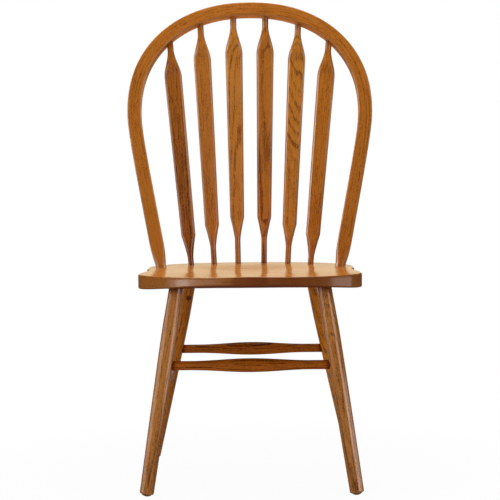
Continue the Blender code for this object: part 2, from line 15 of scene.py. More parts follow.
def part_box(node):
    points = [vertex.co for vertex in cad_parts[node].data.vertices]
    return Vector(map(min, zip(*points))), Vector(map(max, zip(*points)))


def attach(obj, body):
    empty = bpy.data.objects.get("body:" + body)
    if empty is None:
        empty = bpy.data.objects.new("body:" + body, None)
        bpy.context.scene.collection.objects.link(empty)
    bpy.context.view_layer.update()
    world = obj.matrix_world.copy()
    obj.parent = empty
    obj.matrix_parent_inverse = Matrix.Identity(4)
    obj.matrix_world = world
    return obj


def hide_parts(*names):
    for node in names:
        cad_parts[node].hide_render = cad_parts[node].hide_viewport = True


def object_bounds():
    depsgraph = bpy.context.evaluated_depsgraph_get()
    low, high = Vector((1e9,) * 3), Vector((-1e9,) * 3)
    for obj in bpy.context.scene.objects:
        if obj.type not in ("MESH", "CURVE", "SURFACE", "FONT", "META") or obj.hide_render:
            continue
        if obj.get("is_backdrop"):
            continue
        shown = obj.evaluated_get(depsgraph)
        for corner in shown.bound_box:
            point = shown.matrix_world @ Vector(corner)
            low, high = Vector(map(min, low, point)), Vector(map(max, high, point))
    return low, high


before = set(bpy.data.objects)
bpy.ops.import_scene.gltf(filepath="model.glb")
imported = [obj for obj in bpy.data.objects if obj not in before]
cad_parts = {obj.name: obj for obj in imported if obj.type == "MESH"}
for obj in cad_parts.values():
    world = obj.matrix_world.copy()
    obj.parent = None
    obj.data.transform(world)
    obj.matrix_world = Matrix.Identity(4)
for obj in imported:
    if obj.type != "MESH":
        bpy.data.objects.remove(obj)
cad_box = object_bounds()


def trimmed(values):
    """Numbers cut to four places for a print."""
    return [round(float(value), 4) for value in values]


print("solids:", len(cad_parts), "box:", [trimmed(corner) for corner in cad_box])

# %% [markdown]
# ## The camera
# The chair is seen from straight ahead, a little above the seat and about three metres away. A long lens
# keeps the front and the back legs nearly the same size. A Track To constraint could aim the camera, but a
# distance, a height and three small turns are what one sets on a tripod, and they can be measured.

# %% Set up the camera
SEAT_FRONT_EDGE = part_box("seat")[0][1]
CAMERA_DISTANCE = 3.15672
CAMERA_ASIDE = 0.02759
CAMERA_HEIGHT = 0.69409
CAMERA_YAW = math.radians(-0.26)
CAMERA_PITCH = math.radians(3.31)
CAMERA_ROLL = math.radians(0.49)
CAMERA_SENSOR = 36.0
CAMERA_LENS = 113.86
CAMERA_SHIFT = (-0.01226, -0.00488)


def new_object(name, data):
    """An object for a mesh, a lamp or a camera, linked into the scene."""
    made = bpy.data.objects.new(name, data)
    bpy.context.scene.collection.objects.link(made)
    return made


def camera_placing():
    """Where the camera stands: level and facing the chair, then turned by its yaw, pitch and roll."""
    yaw = Matrix.Rotation(-CAMERA_YAW, 4, "Z")
    pitch = Matrix.Rotation(math.pi / 2.0 - CAMERA_PITCH, 4, "X")
    roll = Matrix.Rotation(-CAMERA_ROLL, 4, "Z")
    place = (CAMERA_ASIDE, SEAT_FRONT_EDGE - CAMERA_DISTANCE, CAMERA_HEIGHT)
    return Matrix.Translation(place) @ yaw @ pitch @ roll


tripod = new_object("camera", bpy.data.cameras.new("camera"))
tripod.data.sensor_width = CAMERA_SENSOR
tripod.data.lens = CAMERA_LENS
tripod.data.shift_x, tripod.data.shift_y = CAMERA_SHIFT
tripod.matrix_world = camera_placing()
bpy.context.scene.camera = tripod
print("camera stands at", trimmed(tripod.matrix_world.translation))

# %% [markdown]
# ## A skin over rings
# Every piece of this chair is long or round: turned legs, shaved spindles, a bent hoop, a dished seat.
# Each could be modelled by hand, but all are stacks of closed rings, so one function skins them all. It
# also stores three things that the finish needs: where each point lay in the log, how near it is to an
# edge that hands wear and that takes a painted sheen, and how much stain darkens it, with painted shade at
# a few places.

# %% Skin rings into a closed piece
SMOOTH_ANGLE = math.radians(50.0)


def ring_faces(rings, around):
    """Corner numbers of the faces over a grid of rings.

    Point (i, j) has the number i * around + j. The faces (i, j), (i, j + 1), (i + 1, j + 1), (i + 1, j)
    wrap round in j, and fans from two more points, one at the middle of each end ring, close the ends.
    """
    corner = np.arange(rings * around).reshape(rings, around)
    beside = np.roll(corner, -1, axis=1)
    walls = np.stack([corner[:-1], beside[:-1], beside[1:], corner[1:]], axis=-1).reshape(-1, 4)
    first, last = rings * around, rings * around + 1
    start = np.stack([beside[0], corner[0], np.full(around, first)], axis=-1)
    end = np.stack([corner[-1], beside[-1], np.full(around, last)], axis=-1)
    return walls, np.concatenate([start, end])


def with_ends(values):
    """Flatten per-ring values and add the means of the first and the last ring for the two end points."""
    ends = np.stack([values[0].mean(axis=0), values[-1].mean(axis=0)])
    return np.concatenate([values.reshape(-1, *values.shape[2:]), ends])


def all_round(values, rings):
    """One value for each ring, or for each point, as one for each point."""
    return np.broadcast_to(values.reshape(len(rings), -1), rings.shape[:2])


def enclosed_volume(points, walls, fans):
    """Sum of a . (b x c) / 6 over all triangles: positive when the faces point outwards."""
    triangles = np.concatenate([walls[:, [0, 1, 2]], walls[:, [0, 2, 3]], fans])
    a, b, c = (points[triangles[:, k]] for k in range(3))
    return float(np.einsum("ij,ij->", a, np.cross(b, c)) / 6.0)


def add_piece(node, rings, log_place, edge, gathered):
    """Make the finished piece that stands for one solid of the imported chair."""
    walls, fans = ring_faces(*rings.shape[:2])
    points = with_ends(rings)
    if enclosed_volume(points, walls, fans) < 0.0:
        walls, fans = walls[:, ::-1], fans[:, ::-1]
    mesh = bpy.data.meshes.new("finished_" + node)
    mesh.from_pydata(points, [], walls.tolist() + fans.tolist())
    for name, kind, field, values in (
        ("log_place", "FLOAT_VECTOR", "vector", log_place),
        ("edge", "FLOAT", "value", all_round(edge, rings)),
        ("gathered", "FLOAT", "value", all_round(gathered, rings)),
    ):
        layer = mesh.attributes.new(name, kind, "POINT")
        layer.data.foreach_set(field, with_ends(values).astype(np.float32).ravel())
    mesh.shade_smooth()
    mesh.set_sharp_from_angle(angle=SMOOTH_ANGLE)
    piece = new_object("finished_" + node, mesh)
    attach(piece, "root")
    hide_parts(node)
    low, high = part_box(node)
    grew = max(np.subtract(points.max(axis=0), high).max(), np.subtract(low, points.min(axis=0)).max())
    print(f"{node}: {len(walls) * 2 + len(fans)} triangles, {grew * 1000.0:+.2f} mm past its solid's box")
    return piece


# %% [markdown]
# ## Straight pieces and their place in the log
# Spindles, legs and stretchers are straight sticks, each with an axis from joint to joint. The figure of
# wood depends on where in the tree a stick was sawn: far from the heart the growth rings cross it as
# straight lines, near the heart and askew they come out as arches. A painted texture would look the same
# on all. So each stick gets a cut: how far the log's heart lies beside and behind it, how much it leans
# aside and back, and at what height of the log the stick starts.

# %% Lay a stick along its axis and in its log
def ease(share):
    """Smooth step from 0 to 1: three share squared minus two share cubed, held between 0 and 1."""
    share = np.clip(share, 0.0, 1.0)
    return share * share * (3.0 - 2.0 * share)


def part_way(first, last, share):
    """first + (last - first) times the share."""
    return first + (last - first) * share


def in_turn(values, *shares):
    """The first value, carried on towards each next one by its share from 0 to 1."""
    steps = zip(values, values[1:], shares)
    return values[0] + sum((last - first) * share for first, last, share in steps)


def unit(vector):
    """A vector divided by its length."""
    return vector / np.linalg.norm(vector)


def stick_frame(start, end):
    """Unit vectors across, deep and along a stick; deep is to the back, or up if the stick runs back."""
    along = unit(end - start)
    runs_back = abs(along[1]) > math.cos(math.pi / 4.0)
    across = unit(np.cross((0.0, 0.0, 1.0) if runs_back else (0.0, 1.0, 0.0), along))
    return np.stack([across, np.cross(along, across), along])


def along_stick(section, height):
    """Points of each section, (across, deep), with the height along the stick as their third number."""
    height = np.broadcast_to(height[:, None, None], section.shape[:2] + (1,))
    return np.concatenate([section, height], axis=2)


def in_log(local, cut, leans_from=0.0):
    """A stick's own points seen from the heart of the log: the heart's offset and lean are taken away.

    The lean counts from one height upwards, as in a tree that bends higher up.
    """
    beside, behind, lean_aside, lean_back, start = cut
    across, deep, height = np.moveaxis(local, -1, 0)
    above = np.maximum(height - leans_from, 0.0)
    from_heart = [across - beside - lean_aside * above, deep - behind - lean_back * above]
    return np.stack([*from_heart, height + start], axis=-1)


def near(height, joint, reach):
    """1 at a joint's height, falling away like a bell over the reach on both sides."""
    return np.exp(-(((height - joint) / reach) ** 2))


print("a third of the way, an ease has risen to", trimmed([ease(1.0 / 3.0)])[0])

# %% [markdown]
# ## The seat
# The seat is a thick glued-up plank, 29 mm through, with a bowed front, sides that draw in to a notch, two
# ears under the hoop's feet and a rounded back. Its top is hollowed like a shallow saddle. It could be
# sculpted from a subdivided block, but its plan is made of a few named curves and its top is one formula,
# so the rings come straight from those: out over the top, down the edge and in under the seat.

# %% Sizes of the seat
SEAT_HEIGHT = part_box("seat")[1][2]
SEAT_THICKNESS = 0.029
SEAT_DEPTH = 0.418
SEAT_HALF_WIDTH = 0.229
SEAT_FRONT_BOW = 0.072
SEAT_FRONT_FULLNESS = 2.35
NOTCH_BACK = 0.200
NOTCH_HALF_WIDTH = 0.2155
NOTCH_RUN = 0.022
EAR_HALF_WIDTH = 0.2215
SEAT_REAR_START = 0.260
SEAT_REAR_FULLNESS = 2.4
SEAT_TOP_EASE = 0.002
SEAT_BOTTOM_ROUND = 0.0035
SADDLE_DEPTH = 0.009
SADDLE_HALF_WIDTH = 0.178
SADDLE_HALF_LENGTH = 0.152
SADDLE_BACK = 0.208
FRONT_DIP = 0.0030
FRONT_DIP_RUN = 0.110
POMMEL_RISE = 0.0014
POMMEL_WIDTH = 0.040
FRONT_RELIEF = 0.0095
FRONT_RELIEF_RUN = 0.065
SEAT_EDGE_STAIN = 0.36
# Painted shade: the seat's wall is made darker in a bell round x = 85 mm, right of the middle.
SEAT_EDGE_PAINTED_SHADE = 0.47
SEAT_EDGE_SHADE_SPOT = (0.085, 0.115)
SEAT_CURVE_POINTS = 52
SEAT_SIDE_POINTS = 64
SEAT_TOP_SHARES = np.concatenate([np.linspace(0.01, 0.96, 44), [0.985, 0.996]])
SEAT_WALL_SHARES = np.array([0.25, 0.75])
SEAT_UNDER_SHARES = np.concatenate([[0.985], np.linspace(0.9, 0.02, 16)])
SEAT_EASE_RINGS = 7
SEAT_ROUND_RINGS = 11
print("seat rim stands", round(SEAT_HEIGHT * 1000.0, 1), "mm above the floor")


# %% Plan, top and underside of the seat
def quarter_turn(steps):
    """Even steps of a quarter turn, with their cosines and sines."""
    turn = np.linspace(0.0, math.pi / 2.0, steps)
    return turn, np.clip(np.cos(turn), 0.0, 1.0), np.sin(turn)


def seat_plan():
    """The seat's outline, anticlockwise from the middle of its front edge, and each point's inward normal.

    The right half is three curves. Front: a quarter superellipse, x = a sin^(2/n), y = b (1 - cos^(2/n)).
    Side: the half width eases in to the notch and out to the ear. Rear: a quarter superellipse,
    x = a cos^(2/n), y = b sin^(2/n). The left half is its mirror image.
    """
    _, cosine, sine = quarter_turn(SEAT_CURVE_POINTS)
    front_x = SEAT_HALF_WIDTH * sine ** (2.0 / SEAT_FRONT_FULLNESS)
    front_y = SEAT_FRONT_BOW * (1.0 - cosine ** (2.0 / SEAT_FRONT_FULLNESS))
    side_y = np.linspace(SEAT_FRONT_BOW, SEAT_REAR_START, SEAT_SIDE_POINTS + 2)[1:-1]
    drawn_in = ease((side_y - SEAT_FRONT_BOW) / (NOTCH_BACK - SEAT_FRONT_BOW))
    flared = ease((side_y - NOTCH_BACK) / NOTCH_RUN)
    side_x = in_turn((SEAT_HALF_WIDTH, NOTCH_HALF_WIDTH, EAR_HALF_WIDTH), drawn_in, flared)
    rear_x = EAR_HALF_WIDTH * cosine ** (2.0 / SEAT_REAR_FULLNESS)
    rear_y = part_way(SEAT_REAR_START, SEAT_DEPTH, sine ** (2.0 / SEAT_REAR_FULLNESS))
    right = np.stack([np.hstack([front_x, side_x, rear_x]), np.hstack([front_y, side_y, rear_y])], axis=1)
    outline = np.concatenate([right, right[-2:0:-1] * (-1.0, 1.0)])
    run = np.roll(outline, -1, axis=0) - np.roll(outline, 1, axis=0)
    run = run / np.linalg.norm(run, axis=1, keepdims=True)
    return outline, np.stack([-run[:, 1], run[:, 0]], axis=1)


def seat_top(plan):
    """Height of the top below the rim: a saddle hollow, minus depth times (1 - r squared) squared, with a
    dipped front edge that rises to a low pommel in its middle."""
    across, back = plan[..., 0], plan[..., 1]
    reach = (across / SADDLE_HALF_WIDTH) ** 2 + ((back - SADDLE_BACK) / SADDLE_HALF_LENGTH) ** 2
    hollow = np.clip(1.0 - reach, 0.0, 1.0) ** 2
    between_corners = np.clip(1.0 - (across / SEAT_HALF_WIDTH) ** 4, 0.0, 1.0)
    front_edge = FRONT_DIP * between_corners - POMMEL_RISE * near(across, 0.0, POMMEL_WIDTH)
    return -SADDLE_DEPTH * hollow - front_edge * (1.0 - ease(back / FRONT_DIP_RUN))


def seat_underside(plan):
    """Height of the underside: flat, but rising in an arch to a thinner front edge."""
    arch = np.clip(1.0 - (plan[..., 0] / SEAT_HALF_WIDTH) ** 2, 0.0, 1.0)
    return -SEAT_THICKNESS + FRONT_RELIEF * arch * (1.0 - ease(plan[..., 1] / FRONT_RELIEF_RUN))


print("points round the seat's plan:", len(seat_plan()[0]))


# %% Build the seat
def seat_rings():
    """Rings of the outline, a mark that is 1 on the rounded edges, and the stain on the sawn wood, with
    painted shade on the wall right of the middle.

    Over the top and the underside, ring s is middle + s (edge - middle). Over the rounded edges it is the
    outline moved in by radius times (1 - cos t), and down or up by radius times (1 - sin t).
    """
    outline, inward = seat_plan()
    middle = np.array([0.0, SADDLE_BACK])
    top_edge = outline + inward * SEAT_TOP_EASE
    low_edge = outline + inward * SEAT_BOTTOM_ROUND
    ease_turn, ease_cosine, ease_sine = (part[:, None] for part in quarter_turn(SEAT_EASE_RINGS))
    round_turn, round_cosine, round_sine = (part[:, None] for part in quarter_turn(SEAT_ROUND_RINGS))
    top = part_way(middle, top_edge, SEAT_TOP_SHARES[:, None, None])
    eased = outline + inward * SEAT_TOP_EASE * (1.0 - ease_sine)[..., None]
    wall = np.broadcast_to(outline, (len(SEAT_WALL_SHARES), *outline.shape))
    rounded = outline + inward * SEAT_BOTTOM_ROUND * (1.0 - round_cosine)[..., None]
    below = part_way(middle, low_edge, SEAT_UNDER_SHARES[:, None, None])
    eased_z = seat_top(top_edge) - SEAT_TOP_EASE * (1.0 - ease_cosine)
    rounded_z = seat_underside(low_edge) + SEAT_BOTTOM_ROUND * (1.0 - round_sine)
    wall_z = part_way(eased_z[-1], rounded_z[0], SEAT_WALL_SHARES[:, None])
    # Painted shade: the wall's stain darkens further in a bell round x = 85 mm, on the right of the front
    # and back edges.
    edge_stain_and_shade = SEAT_EDGE_STAIN + SEAT_EDGE_PAINTED_SHADE * near(outline[:, 0], *SEAT_EDGE_SHADE_SPOT)
    bands = (
        (top, seat_top(top), 0.0, 0.0),
        (eased, eased_z, np.sin(2.0 * ease_turn), ease_sine * edge_stain_and_shade),
        (wall, wall_z, 0.0, edge_stain_and_shade),
        (rounded, rounded_z, np.sin(2.0 * round_turn), part_way(edge_stain_and_shade, 1.0, round_sine)),
        (below, seat_underside(below), 0.0, 1.0),
    )
    plan = np.concatenate([band[0] for band in bands])
    marks = ([np.broadcast_to(band[k], band[0].shape[:2]) for band in bands] for k in (1, 2, 3))
    return plan, *(np.concatenate(mark) for mark in marks)


seat_xy, seat_z, seat_edge, seat_stain_and_shade = seat_rings()
seat_x, seat_y = seat_xy[..., 0], seat_xy[..., 1]
seat_points = np.stack([seat_x, seat_y + SEAT_FRONT_EDGE, seat_z + SEAT_HEIGHT], axis=-1)
seat_in_board = np.stack([seat_y, seat_z, seat_x], axis=-1)
seat_piece = add_piece("seat", seat_points, seat_in_board, seat_edge, seat_stain_and_shade)

# %% [markdown]
# ## A shaved section
# The hoop and the spindles are flat sticks with shaved edges that turn round where they enter a joint. A
# Bevel modifier could shave the edges, but not turn the section into a circle on the way. Here the section
# is a formula: a rectangle with shaved corners and a circle of as many points, mixed by a roundness. A
# fullness of 2 makes the corner an arc, and a little over 1 the flat of a spokeshave.

# %% Section of a flat stick that can turn round
CORNER_POINTS = 11
SIDE_SHARES = np.array([0.0, 0.55, 0.92])


def shaved_section(width, thickness, corner, fullness, roundness):
    """Sections (station, point, 2) of a flat stick, and a mark that is 1 on the middle of its corners.

    One quarter runs up the side, round the corner and in along the face. Its x is a share of the half
    width plus a share of the corner, which is cos^(2/fullness) round the corner. Its y has the same shares
    backwards. A point is that times (1 - roundness) plus a circle's point times roundness. Mirroring gives
    the other quarters.
    """
    sizes = (width, thickness, corner, roundness)
    width, thickness, corner, roundness = (np.broadcast_to(size, width.shape)[:, None] for size in sizes)
    turn, cosine, _ = quarter_turn(CORNER_POINTS)
    full, none = np.ones(len(SIDE_SHARES)), np.zeros(len(SIDE_SHARES))
    of_half = np.concatenate([full, np.ones(CORNER_POINTS), SIDE_SHARES[::-1]])
    of_corner = np.concatenate([full, cosine ** (2.0 / fullness), none])
    flat_x = (width / 2.0 - corner) * of_half + corner * of_corner
    flat_y = (thickness / 2.0 - corner) * of_half[::-1] + corner * of_corner[::-1]
    _, round_x, round_y = quarter_turn(len(of_half))
    quarter_x = part_way(flat_x, round_x * width / 2.0, roundness)
    quarter_y = part_way(flat_y, round_y * width / 2.0, roundness)
    quarter = np.stack([quarter_x, quarter_y], axis=-1)
    mark = np.concatenate([none, np.sin(2.0 * turn), none]) * (1.0 - roundness)
    forward, backward = quarter[:, :-1], quarter[:, :0:-1]
    whole = [forward, backward * (-1.0, 1.0), forward * (-1.0, -1.0), backward * (1.0, -1.0)]
    marks = [mark[:, :-1], mark[:, :0:-1]] * 2
    return np.concatenate(whole, axis=1), np.concatenate(marks, axis=1)


print("points round a shaved section:", 4 * (CORNER_POINTS + 2 * len(SIDE_SHARES) - 1))

# %% [markdown]
# ## The hoop
# The back is one stick, steamed and bent into a hoop, flat in front and whittled to narrow facets at both
# feet. A curve with a bevel object would carry the section too, but it would not whittle the ends or
# remember the straight stick. So the section is carried along the centre line, and the grain is stored
# as it lay before the stick was bent.

# %% Sizes of the hoop
HOOP_FOOT_BACK = 0.259
HOOP_FOOT_HALF_SPACING = 0.1935
HOOP_RECLINE = math.radians(18.0)
HOOP_WIDEST = 0.359
CROWN_RISE = 0.2389
CROWN_FULLNESS = 2.19
HOOP_SIDE_BEND = 0.0465
HOOP_FACE = 0.0305
HOOP_HALF_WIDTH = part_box("back_hoop")[1][0] - HOOP_FACE / 2.0
HOOP_THICKNESS = 0.0245
HOOP_EDGE_RADIUS = 0.0025
HOOP_EDGE_FULLNESS = 1.3
HOOP_FOOT_FACET = 0.0068
HOOP_FOOT_ROUND = 0.35
FACET_GLOSS_AND_SHEEN = 1.6
HOOP_END_DIAMETER = 0.022
HOOP_ROUND_END = 0.024
WHITTLE_LENGTH = 0.050
HOOP_TENON = 0.018
HOOP_JOINT_STAIN, HOOP_JOINT_REACH = 0.15, 0.005
HOOP_LINE_POINTS = 900
HOOP_STATIONS = 620
HOOP_CUT = (0.040, 0.060, 0.002, 0.004, 3.1)
print("the hoop's centre line is", round(HOOP_HALF_WIDTH * 2000.0, 1), "mm wide")


# %% The hoop's centre line
def lean_back(flat):
    """Points (across, deep, up) of the hoop's plane, turned back about its feet and set on the seat."""
    across, deep, up = np.moveaxis(flat, -1, 0)
    back = deep * math.cos(HOOP_RECLINE) + up * math.sin(HOOP_RECLINE)
    high = up * math.cos(HOOP_RECLINE) - deep * math.sin(HOOP_RECLINE)
    return np.stack([across, back + HOOP_FOOT_BACK + SEAT_FRONT_EDGE, high + SEAT_HEIGHT], axis=-1)


def hoop_crown(across):
    """Height of the centre line over the crown: a superellipse that stands on the hoop's widest height."""
    share = (np.abs(across) / HOOP_HALF_WIDTH) ** CROWN_FULLNESS
    return HOOP_WIDEST + CROWN_RISE * (1.0 - share) ** (1.0 / CROWN_FULLNESS)


def hoop_line():
    """Close points (across, up) of the centre line from one tenon's end over the crown to the other's.

    Each side is a hyperbola, upright at the widest height and straight towards the foot. The crown is half
    a superellipse.
    """
    rise = np.linspace(-HOOP_TENON, HOOP_WIDEST, HOOP_LINE_POINTS)
    run = np.hypot(HOOP_WIDEST - rise, HOOP_SIDE_BEND) - HOOP_SIDE_BEND
    whole_run = math.hypot(HOOP_WIDEST, HOOP_SIDE_BEND) - HOOP_SIDE_BEND
    side_x = part_way(HOOP_HALF_WIDTH, HOOP_FOOT_HALF_SPACING, run / whole_run)
    _, cosine, sine = quarter_turn(HOOP_LINE_POINTS)
    crown_x = HOOP_HALF_WIDTH * cosine[1:] ** (2.0 / CROWN_FULLNESS)
    crown_z = HOOP_WIDEST + CROWN_RISE * sine[1:] ** (2.0 / CROWN_FULLNESS)
    across = np.concatenate([side_x, crown_x])
    up = np.concatenate([rise, crown_z])
    return np.concatenate([-across, across[-2::-1]]), np.concatenate([up, up[-2::-1]])


line_x, line_z = hoop_line()
walked = np.concatenate([[0.0], np.cumsum(np.hypot(np.diff(line_x), np.diff(line_z)))])
hoop_length = walked[-1]
print("the straight stick for the hoop was", round(hoop_length, 3), "m long")

# %% Build the hoop
hoop_stops = np.linspace(0.0, hoop_length, HOOP_STATIONS)
from_end = np.minimum(hoop_stops, hoop_length - hoop_stops)
whittling = np.clip((from_end - HOOP_ROUND_END) / WHITTLE_LENGTH, 0.0, 1.0)
squared = np.sin(math.pi / 2.0 * whittling)
hoop_width = part_way(HOOP_END_DIAMETER, HOOP_FACE, squared)
hoop_depth = part_way(HOOP_END_DIAMETER, HOOP_THICKNESS, squared)
facet = part_way(HOOP_FOOT_FACET, HOOP_EDGE_RADIUS, squared)
hoop_roundness = HOOP_FOOT_ROUND * (1.0 - squared)
hoop_section, hoop_edge = shaved_section(hoop_width, hoop_depth, facet, HOOP_EDGE_FULLNESS, hoop_roundness)


def at_stops(values):
    """Values along the close centre line, read off at the hoop's stations."""
    return np.interp(hoop_stops, walked, values)[:, None]


hoop_x = at_stops(line_x) - hoop_section[..., 0] * at_stops(np.gradient(line_z, walked))
hoop_z = at_stops(line_z) + hoop_section[..., 0] * at_stops(np.gradient(line_x, walked))
hoop_points = lean_back(np.stack([hoop_x, hoop_section[..., 1], hoop_z], axis=-1))
hoop_log = in_log(along_stick(hoop_section, hoop_stops), HOOP_CUT)
# The whittled facets get a stronger edge mark: more lacquer, and a painted sheen in the colour.
hoop_edge = hoop_edge * (1.0 + FACET_GLOSS_AND_SHEEN * (1.0 - squared))[:, None]
hoop_joint = HOOP_JOINT_STAIN * near(from_end, HOOP_TENON, HOOP_JOINT_REACH)
hoop_piece = add_piece("back_hoop", hoop_points, hoop_log, hoop_edge, hoop_joint)

# %% [markdown]
# ## The arrow spindles
# Six spindles fan out from the seat to the hoop. Each starts as a dowel, swells through a tapered tail to
# a flat paddle, widens a little upwards and flares back to a round neck under the hoop. Mirrored copies
# would be three pairs of twins, but every real spindle was sawn from another place in a log. So each has
# its own cut, chosen for the figure that it shows: straight lines, arches or slanting bands.

# %% Sizes of the spindles
SPINDLE_FEET = (0.0290, 0.0820, 0.1315)
SPINDLE_TIPS = (0.0365, 0.1112, 0.1804)
SPINDLE_SHOULDERS = (0.104, 0.088, 0.068)
SPINDLE_ROW_BACK = 0.381
SPINDLE_ROW_BOW = 0.057
SPINDLE_FOOT_TENON = 0.013
SPINDLE_FOOT_DIAMETER = 0.0125
SPINDLE_TOP_DIAMETER = 0.0140
NECK_PLAIN = 0.020
NECK_FLARE = 0.063
TAIL_TAPER = 0.050
TAIL_POWER = 1.25
ARROW_TOP_WIDTH = 0.0390
ARROW_SHOULDER_WIDTH = 0.0313
ARROW_THICKNESS = 0.0125
ARROW_EDGE_SHAVED = 0.0050
ARROW_EDGE_FULLNESS = 1.3
SPINDLE_STATIONS = 300
SEAM_STAIN, SEAM_REACH = 0.30, 0.004
# The tail is made darker in a broad bell round the seat's top.
TAIL_DARKENING, TAIL_DARKENING_REACH = 0.35, 0.045
# Painted shade: a dark bell where each spindle's neck enters the hoop.
NECK_SHADE, NECK_SHADE_REACH = 0.50, 0.010
SPINDLE_PLACES = ((2, -1), (1, -1), (0, -1), (0, 1), (1, 1), (2, 1))
SPINDLE_CUTS = (
    (0.060, 0.060, 0.000, 0.012, 0.3),
    (0.110, 0.040, 0.004, 0.000, 6.2),
    (0.010, 0.030, 0.004, 0.030, 9.7),
    (0.006, 0.045, 0.000, -0.010, 12.4),
    (0.024, 0.123, -0.040, -0.100, 15.1),
    (0.095, 0.050, 0.000, 0.006, 18.8),
)
SPINDLE_LEANS_FROM = (0.0, 0.0, 0.0, 0.0, 0.24, 0.0)
print("spindles:", len(SPINDLE_PLACES), "from", len(set(SPINDLE_CUTS)), "places in the log")


# %% Build the spindles
def spindle_ends(index, side):
    """A spindle's axis: the bottom of its tenon in the seat, and its tip at the hoop's centre line."""
    foot_x, tip_x = SPINDLE_FEET[index], SPINDLE_TIPS[index]
    forward = SPINDLE_ROW_BOW * (foot_x / SPINDLE_FEET[-1]) ** 2
    on_seat = np.array([side * foot_x, SPINDLE_ROW_BACK - forward + SEAT_FRONT_EDGE, SEAT_HEIGHT])
    tip = lean_back(np.array([side * tip_x, 0.0, hoop_crown(tip_x)]))
    along = unit(tip - on_seat)
    return on_seat - along * SPINDLE_FOOT_TENON / along[2], tip


def arrow_shape(height, length, shoulder):
    """Width and roundness of a spindle along its height.

    The tail widens with a power of its share, the paddle evenly, and the neck eases down to the tip. The
    section is round at both ends and flat between the tail and the neck.
    """
    widest = length - HOOP_FACE / 2.0 - NECK_PLAIN - NECK_FLARE
    tail = np.clip((height - shoulder) / TAIL_TAPER + 1.0, 0.0, 1.0)
    paddle = np.clip((height - shoulder) / (widest - shoulder), 0.0, 1.0)
    neck = ease((height - widest) / NECK_FLARE)
    widths = (SPINDLE_FOOT_DIAMETER, ARROW_SHOULDER_WIDTH, ARROW_TOP_WIDTH, SPINDLE_TOP_DIAMETER)
    return in_turn(widths, tail**TAIL_POWER, paddle, neck), np.maximum(1.0 - ease(tail), neck)


def build_spindle(number, index, side, cut):
    """Carry the shaved section along one spindle's axis."""
    foot, tip = spindle_ends(index, side)
    length = np.linalg.norm(tip - foot)
    height = np.linspace(0.0, length, SPINDLE_STATIONS)
    width, roundness = arrow_shape(height, length, SPINDLE_FOOT_TENON + SPINDLE_SHOULDERS[index])
    shaving = (ARROW_THICKNESS, ARROW_EDGE_SHAVED, ARROW_EDGE_FULLNESS)
    section, edge = shaved_section(width, *shaving, roundness)
    local = along_stick(section, height)
    rings = foot + local @ stick_frame(foot, tip)
    joint = near(height, SPINDLE_FOOT_TENON, SEAM_REACH) * SEAM_STAIN
    # Darker over a broad bell, 45 mm each way from the seat's top.
    joint = joint + near(height, SPINDLE_FOOT_TENON, TAIL_DARKENING_REACH) * TAIL_DARKENING
    # Painted shade: the neck is darkened where it enters the hoop.
    joint = joint + near(height, length - HOOP_FACE / 2.0, NECK_SHADE_REACH) * NECK_SHADE
    log_place = in_log(local, cut, SPINDLE_LEANS_FROM[number - 1])
    return add_piece(f"arrow_spindle_{number}", rings, log_place, edge, joint)


spindle_pieces = [
    build_spindle(number, index, side, cut)
    for number, ((index, side), cut) in enumerate(zip(SPINDLE_PLACES, SPINDLE_CUTS), start=1)
]

# %% [markdown]
# ## The legs
# The four legs are turned on a lathe. They swell to 33 mm a hand's width under the seat, taper to 29 mm at
# the foot, and are splayed sideways and raked forward or back. A Screw modifier would turn a profile too.
# A ring of points times a radius that depends on the height is the same, with the grain stored on the way.

# %% Sizes and axes of the legs
LEG_TOP_HEIGHT = SEAT_HEIGHT - SEAT_THICKNESS
LEG_TOPS = {"front": (0.1528, 0.0930), "back": (0.1352, 0.3453)}
LEG_FEET = {"front": (0.2164, 0.0483), "back": (0.2299, 0.4711)}
LEG_TENON = 0.015
LEG_TOP_DIAMETER = 0.0290
LEG_SWELL_DIAMETER = 0.0330
LEG_FOOT_DIAMETER = 0.0290
LEG_SWELL_DROP = 0.105
LEG_FOOT_CHAMFERS = {"front": 0.0015, "back": 0.0025}
LEG_FOOT_EVEN = 0.0032
LEG_CHAMFER_RINGS = 4
LEG_STATIONS = 220
LEG_SIDES = 56
LEG_EDGE_REACH = 0.003
LEG_JOINT_REACH = 0.010
JOINT_GAP = 0.0003
GLIDE_DIAMETER = 0.020
GLIDE_HEIGHT = 0.005
GLIDE_RIM = 0.0015
GLIDE_WORN_FLAT = 0.0005
DOME_DEPTH = GLIDE_HEIGHT - GLIDE_RIM
DOME_RADIUS = ((GLIDE_DIAMETER / 2.0) ** 2 + DOME_DEPTH**2) / (2.0 * DOME_DEPTH)
LEG_CUTS = {
    "front_leg_left": (0.030, 0.045, 0.000, 0.020, 21.3),
    "front_leg_right": (0.004, 0.031, 0.000, -0.140, 24.9),
    "back_leg_left": (0.040, 0.030, 0.000, 0.012, 27.6),
    "back_leg_right": (0.004, 0.026, 0.010, 0.085, 30.2),
}
LEG_LEANS_FROM = {"front_leg_right": 0.31}
LEG_PLACES = [(row, side) for row in ("front", "back") for side in ("left", "right")]


def leg_axis(row, side):
    """The points where a leg's axis meets the floor and the seat's underside."""
    sign = -1.0 if side == "left" else 1.0
    foot_x, foot_back = LEG_FEET[row]
    top_x, top_back = LEG_TOPS[row]
    foot = np.array([sign * foot_x, foot_back + SEAT_FRONT_EDGE, 0.0])
    return foot, np.array([sign * top_x, top_back + SEAT_FRONT_EDGE, LEG_TOP_HEIGHT])


def glide_tip(foot, top):
    """Distance along a leg's axis from the floor to its glide's tip, which the floor has worn flat."""
    return (DOME_RADIUS - GLIDE_WORN_FLAT) / unit(top - foot)[2] - DOME_RADIUS


print("leg lengths:", trimmed(np.linalg.norm(np.subtract(*leg_axis(*place))) for place in LEG_PLACES))


